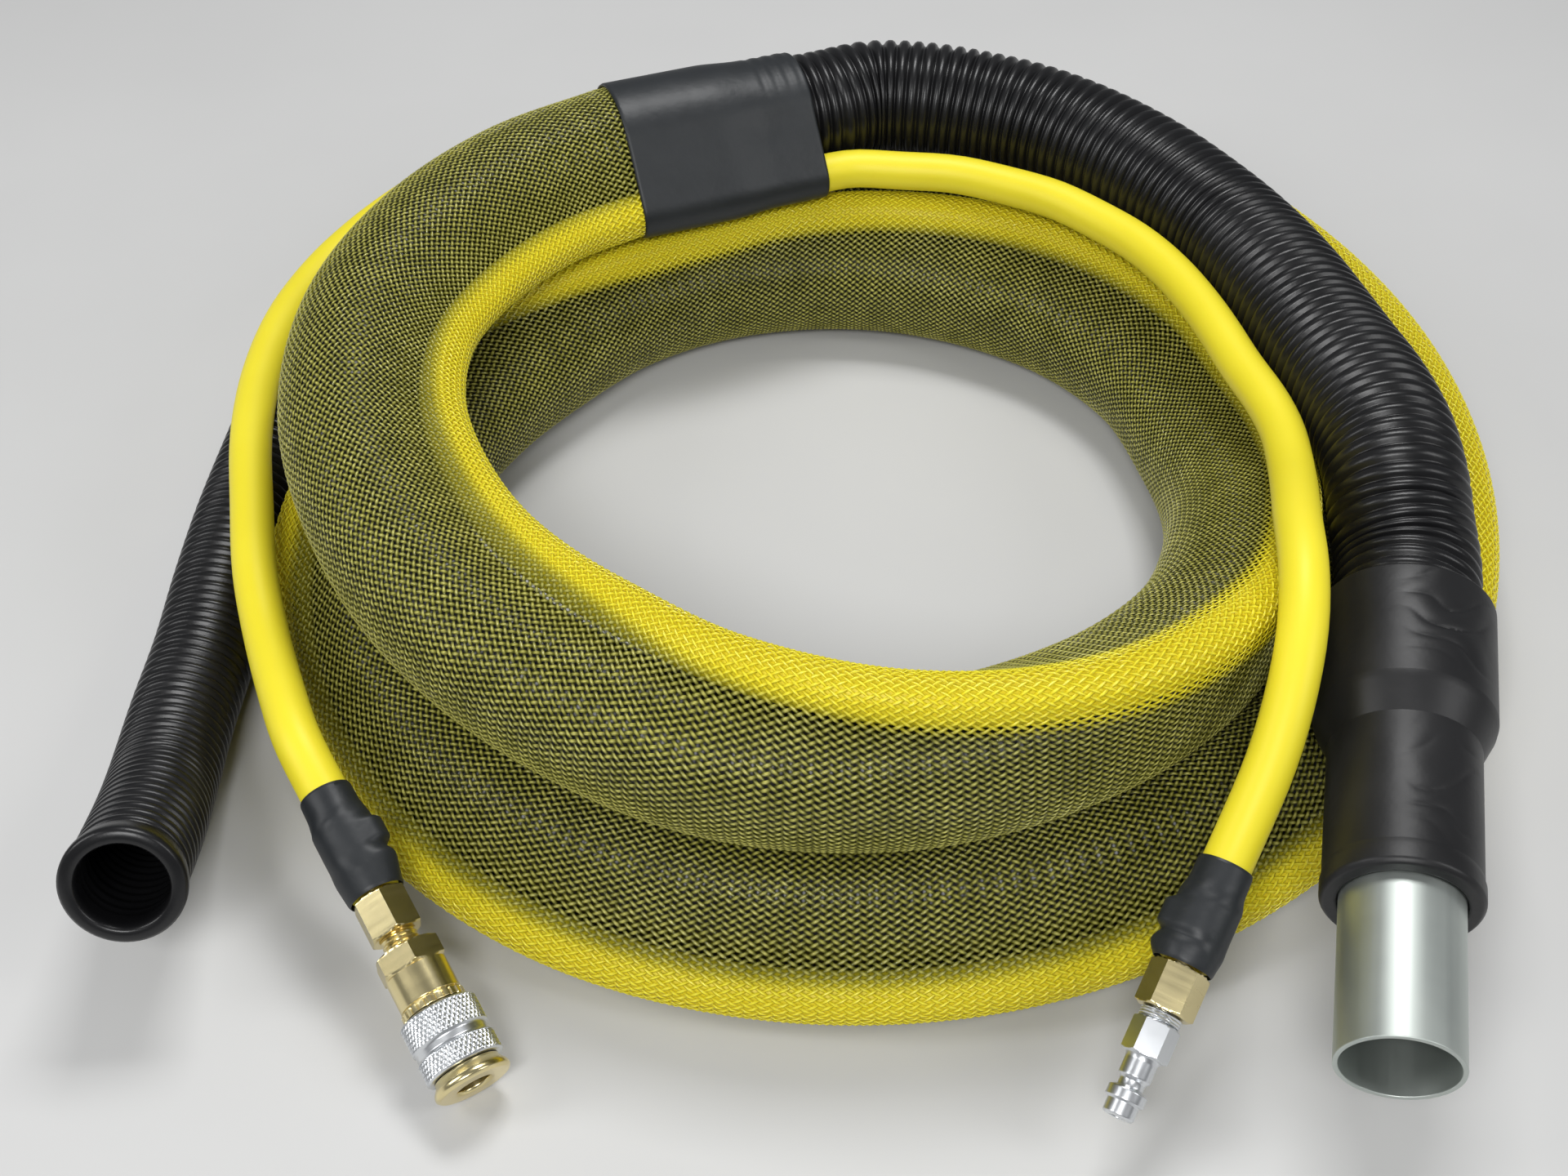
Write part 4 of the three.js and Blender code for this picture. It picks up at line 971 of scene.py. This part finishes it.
PLUG_HEX, PLUG_HEX_ENDS, PLUG_BORE = 12.2, (49.5, 60), 2.5
plug_thread, plug_helix = thread(6.2, 46.8, 49.3, 0.9, 0.35)
plug_axle.turned(
    "plug_nipple",
    [
        (PLUG_BORE, 41.3), (4.4, 41.3), (4.9, 42), (4.9, 46.6), (5.8, 46.6), *plug_thread, (5.6, 49.4),
        *hex_corners(PLUG_HEX, *PLUG_HEX_ENDS), (5.2, 60.1), (4.8, 61.5), (4.8, 66.5), (3.8, 67.5),
        (3.8, 69.5), (5.8, 70.5), (5.8, 73.5), (4.7, 74), (4.7, 77.8), (4.1, 78.4), (PLUG_BORE, 78.4),
    ],
    plated, ["air_plug"], shapes=[hexagon(PLUG_HEX, *PLUG_HEX_ENDS), plug_helix],
)

# ---------------------------------------------------------------- coupler body
# Brass, turned from hexagon bar: a hexagon, a polished barrel, a notched ring that the sleeve slides over,
# and a socket with four drilled holes for the locking balls. It is screwed on the hose tail's thread.

BODY_HEX, BODY_HEX_ENDS, BARREL = 19, (56.2, 63.5), 9.6
NOTCHES, NOTCH_SHARE, NOTCH_DEPTH = 24, 0.36, 0.55
SOCKET, SOCKET_BORE = 8, 5.2
BALLS, BALL_AT, BALL_OFFSET, BALL_RADIUS, BALL_HOLE = 4, 91.5, 6.3, 1.5, 1.75


def notched(r, y, a):
    notch = ((a / (2 * math.pi) * NOTCHES) % 1 < NOTCH_SHARE) & (y > 74.3) & (y < 76.7) & (r > 9.7)
    return np.where(notch, r - NOTCH_DEPTH, r)


coupler_body = coupler_axle.turned(
    "body_socket",
    [
        (6.3, 56.2), *hex_corners(BODY_HEX, *BODY_HEX_ENDS), (BARREL, 63.5), (BARREL, 73.6), (9.1, 73.9),
        (9.1, 74.2), (10.05, 74.4), (10.05, 76.6), (9.6, 77), (SOCKET, 77), (SOCKET, 93.8), (7.4, 93.8),
        (7.4, 95.4), (SOCKET, 95.4), (SOCKET, 98), (SOCKET_BORE, 98), (SOCKET_BORE, 86.2), (6.6, 86.2),
        (6.6, 83.8), (SOCKET_BORE, 83.8), (SOCKET_BORE, 80), (4, 80), (4, 78), (5.6, 78), (5.6, 64.3),
        (3.8, 64.3), (3.8, 61.8), (6.3, 61.8),
    ],
    brass, ["coupler_body"], 192, shapes=[hexagon(BODY_HEX, *BODY_HEX_ENDS), notched],
)
angles = np.linspace(0, 2 * math.pi, 32, endpoint=False)
quarter_turns = [np.array(Matrix.Rotation(i * 2 * math.pi / BALLS, 3, "Y")).T for i in range(BALLS)]
drill = np.stack([
    np.stack([np.full(32, x), BALL_AT + BALL_HOLE * np.cos(angles), BALL_HOLE * np.sin(angles)], -1)
    for x in (3.3, 9.3)
]) * 0.001
cutters = []
for number, turn in enumerate(quarter_turns, 1):
    cutter = bpy.data.objects.new("cutter", ring_mesh("cutter", drill @ turn, capped=True))
    bpy.context.scene.collection.objects.link(cutter)
    cutter.matrix_world = coupler_axle.matrix
    hole = coupler_body.modifiers.new(f"hole_{number}", "BOOLEAN")
    hole.operation, hole.solver, hole.object = "DIFFERENCE", "EXACT", cutter
    cutters.append(cutter)
coupler_body.modifiers.move(0, BALLS)  # the weighted normals come after the holes
bpy.context.view_layer.update()
drilled = coupler_body.evaluated_get(bpy.context.evaluated_depsgraph_get())
coupler_body_mesh = bpy.data.meshes.new_from_object(drilled)
coupler_body.modifiers.clear()
coupler_body.data = coupler_body_mesh
for cutter in cutters:
    bpy.data.objects.remove(cutter)

# ---------------------------------------------------------------- locking balls, seal and ring
# Four steel balls in the socket's holes, a rubber seal in a groove in its bore, and a wire ring in a groove
# outside it that keeps the sleeve on.

latitudes = np.linspace(-math.pi / 2, math.pi / 2, 18)[1:-1]
ball_rings = np.stack([
    np.stack([
        BALL_OFFSET + BALL_RADIUS * np.cos(v) * np.cos(angles),
        np.full(32, BALL_AT + BALL_RADIUS * np.sin(v)),
        -BALL_RADIUS * np.cos(v) * np.sin(angles),
    ], -1) for v in latitudes
]) * 0.001
for number, turn in enumerate(quarter_turns, 1):
    show(
        f"ball_{number}", ring_mesh(f"ball_{number}", ball_rings @ turn, capped=True),
        plated, [f"locking_ball_{number}"], matrix=coupler_axle.matrix,
    )

seal = Paint("seal_rubber")
sheen = seal.noise(200.0, detail=2)
seal.finish(
    base_color=seal.mix(sheen, (0.010, 0.010, 0.010), (0.020, 0.020, 0.020)), roughness=sheen * 0.2 + 0.4,
)


def hoop(radius, wire, place, sides=16):
    """The profile of a round ring."""
    turns = np.linspace(0, 2 * math.pi, sides, endpoint=False)
    return [(radius + wire * math.sin(v), place - wire * math.cos(v)) for v in turns]


coupler_axle.turned(
    "seal_in_socket", hoop(5.75, 0.8, 85), seal, ["plug_seal"], ease=0.0,
)
coupler_axle.turned(
    "ring_keeps_sleeve", [(7.7, 94.1), (9.1, 94.1), (9.1, 95.1), (7.7, 95.1)],
    plated, ["sleeve_ring"], ease=0.3,
)

# ---------------------------------------------------------------- valve
# Turned brass valve with a rubber washer on its face. A spring of steel wire holds it against its seat, and
# it slides back into its chamber. A second spring, inside the coupler's sleeve, holds the sleeve forward.

SPRING_WIRE, SPRING_CURLS, TRAVEL = 0.45, 4, 4

coupler_axle.turned(
    "valve_poppet",
    [
        (0.05, 66), (1.7, 66), (1.7, 73.5), (4.9, 73.5), (4.9, 76.4), (3.1, 76.4), (3.1, 81.1), (2.7, 81.5),
        (0.05, 81.5),
    ],
    brass, ["coupler_valve"], body="valve",
)
coupler_axle.turned(
    "valve_washer", [(3.5, 76.7), (5.1, 76.7), (5.1, 77.7), (3.5, 77.7)],
    seal, ["valve_seal"], ease=0.3, body="valve",
)


def spring(name, node, radius, first, last):
    """A helix of round wire between two places."""
    u = np.linspace(0, 1, SPRING_CURLS * 40 + 1)
    a = u * SPRING_CURLS * 2 * math.pi
    rise = first + SPRING_WIRE + (last - first - 2 * SPRING_WIRE) * u
    line = np.stack([radius * np.cos(a), rise, -radius * np.sin(a)], 1)
    rings = round_rings(line, carried(line, (1, 0, 0)), np.full(len(line), SPRING_WIRE), 14) * 0.001
    mesh = ring_mesh(name, rings, capped=True)
    piece = show(name, mesh, plated, [node], matrix=coupler_axle.matrix)
    tuple(coupler_axle.at(first))
    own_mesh(piece)


spring("spring_behind_valve", "valve_spring", 4.4, 64.6, 73.2)
spring("spring_behind_sleeve", "sleeve_spring", 9.0, 77.3, 89.1)

# ---------------------------------------------------------------- coupler sleeve
# Plated steel, turned, with two diamond-knurled bands and a polished waist between them. It slides back on
# the body against its spring, and the wire ring stops it in front.

KNURLS, KNURL_PITCH, KNURL_DEPTH, KNURL_RADIUS = 50, 1.3, 0.55, 12.15
BANDS = (78.2, 86.4), (90.2, 96)


def knurled(r, y, a):
    """Pyramids between two crossing sets of helical grooves."""
    turn = a / (2 * math.pi) * KNURLS
    sides = [np.abs((turn + way * y / KNURL_PITCH) % 1 - 0.5) * 2 for way in (0.5, -0.5)]
    depth = KNURL_DEPTH * np.maximum(*sides)
    inside = np.logical_or(*[(y > first) & (y < last) for first, last in BANDS])
    return np.where(inside & (r > KNURL_RADIUS - 0.1), r - depth, r)


knurl_rows = [[(KNURL_RADIUS, y) for y in np.arange(first, last + 0.1, 0.2)] for first, last in BANDS]
coupler_sleeve = coupler_axle.turned(
    "sleeve_knurled",
    [
        (10.4, 77.6), (11.6, 77.6), *knurl_rows[0], (11.7, 86.9), (11.45, 87.4), (11.45, 89.2), (11.7, 89.7),
        *knurl_rows[1], (11.7, 96.6), (9.5, 96.6), (9.5, 93.7), (8.15, 93.7), (8.15, 89.4), (10.4, 89.4),
    ],
    plated, ["coupler_sleeve"], KNURLS * 4, 0.2, [knurled], body="sleeve",
)

# ---------------------------------------------------------------- coupler nose
# Brass, turned and pressed on the socket's mouth: a neck in front of the sleeve, which flares to a rounded
# rim. A plug goes in through it.

coupler_nose = coupler_axle.turned(
    "nose_flared",
    [
        (8.3, 96.9), (10.2, 96.9), (10.25, 97.5), (10.6, 98.3), (11.2, 99.1), (11.8, 99.9), (12, 100.6),
        (12, 101.4), (11.1, 102.3), (6, 102.3), (5.2, 101.5), (5.2, 98.3), (8.3, 98.3),
    ],
    brass, ["coupler_nose"], 128, 0.4,
)
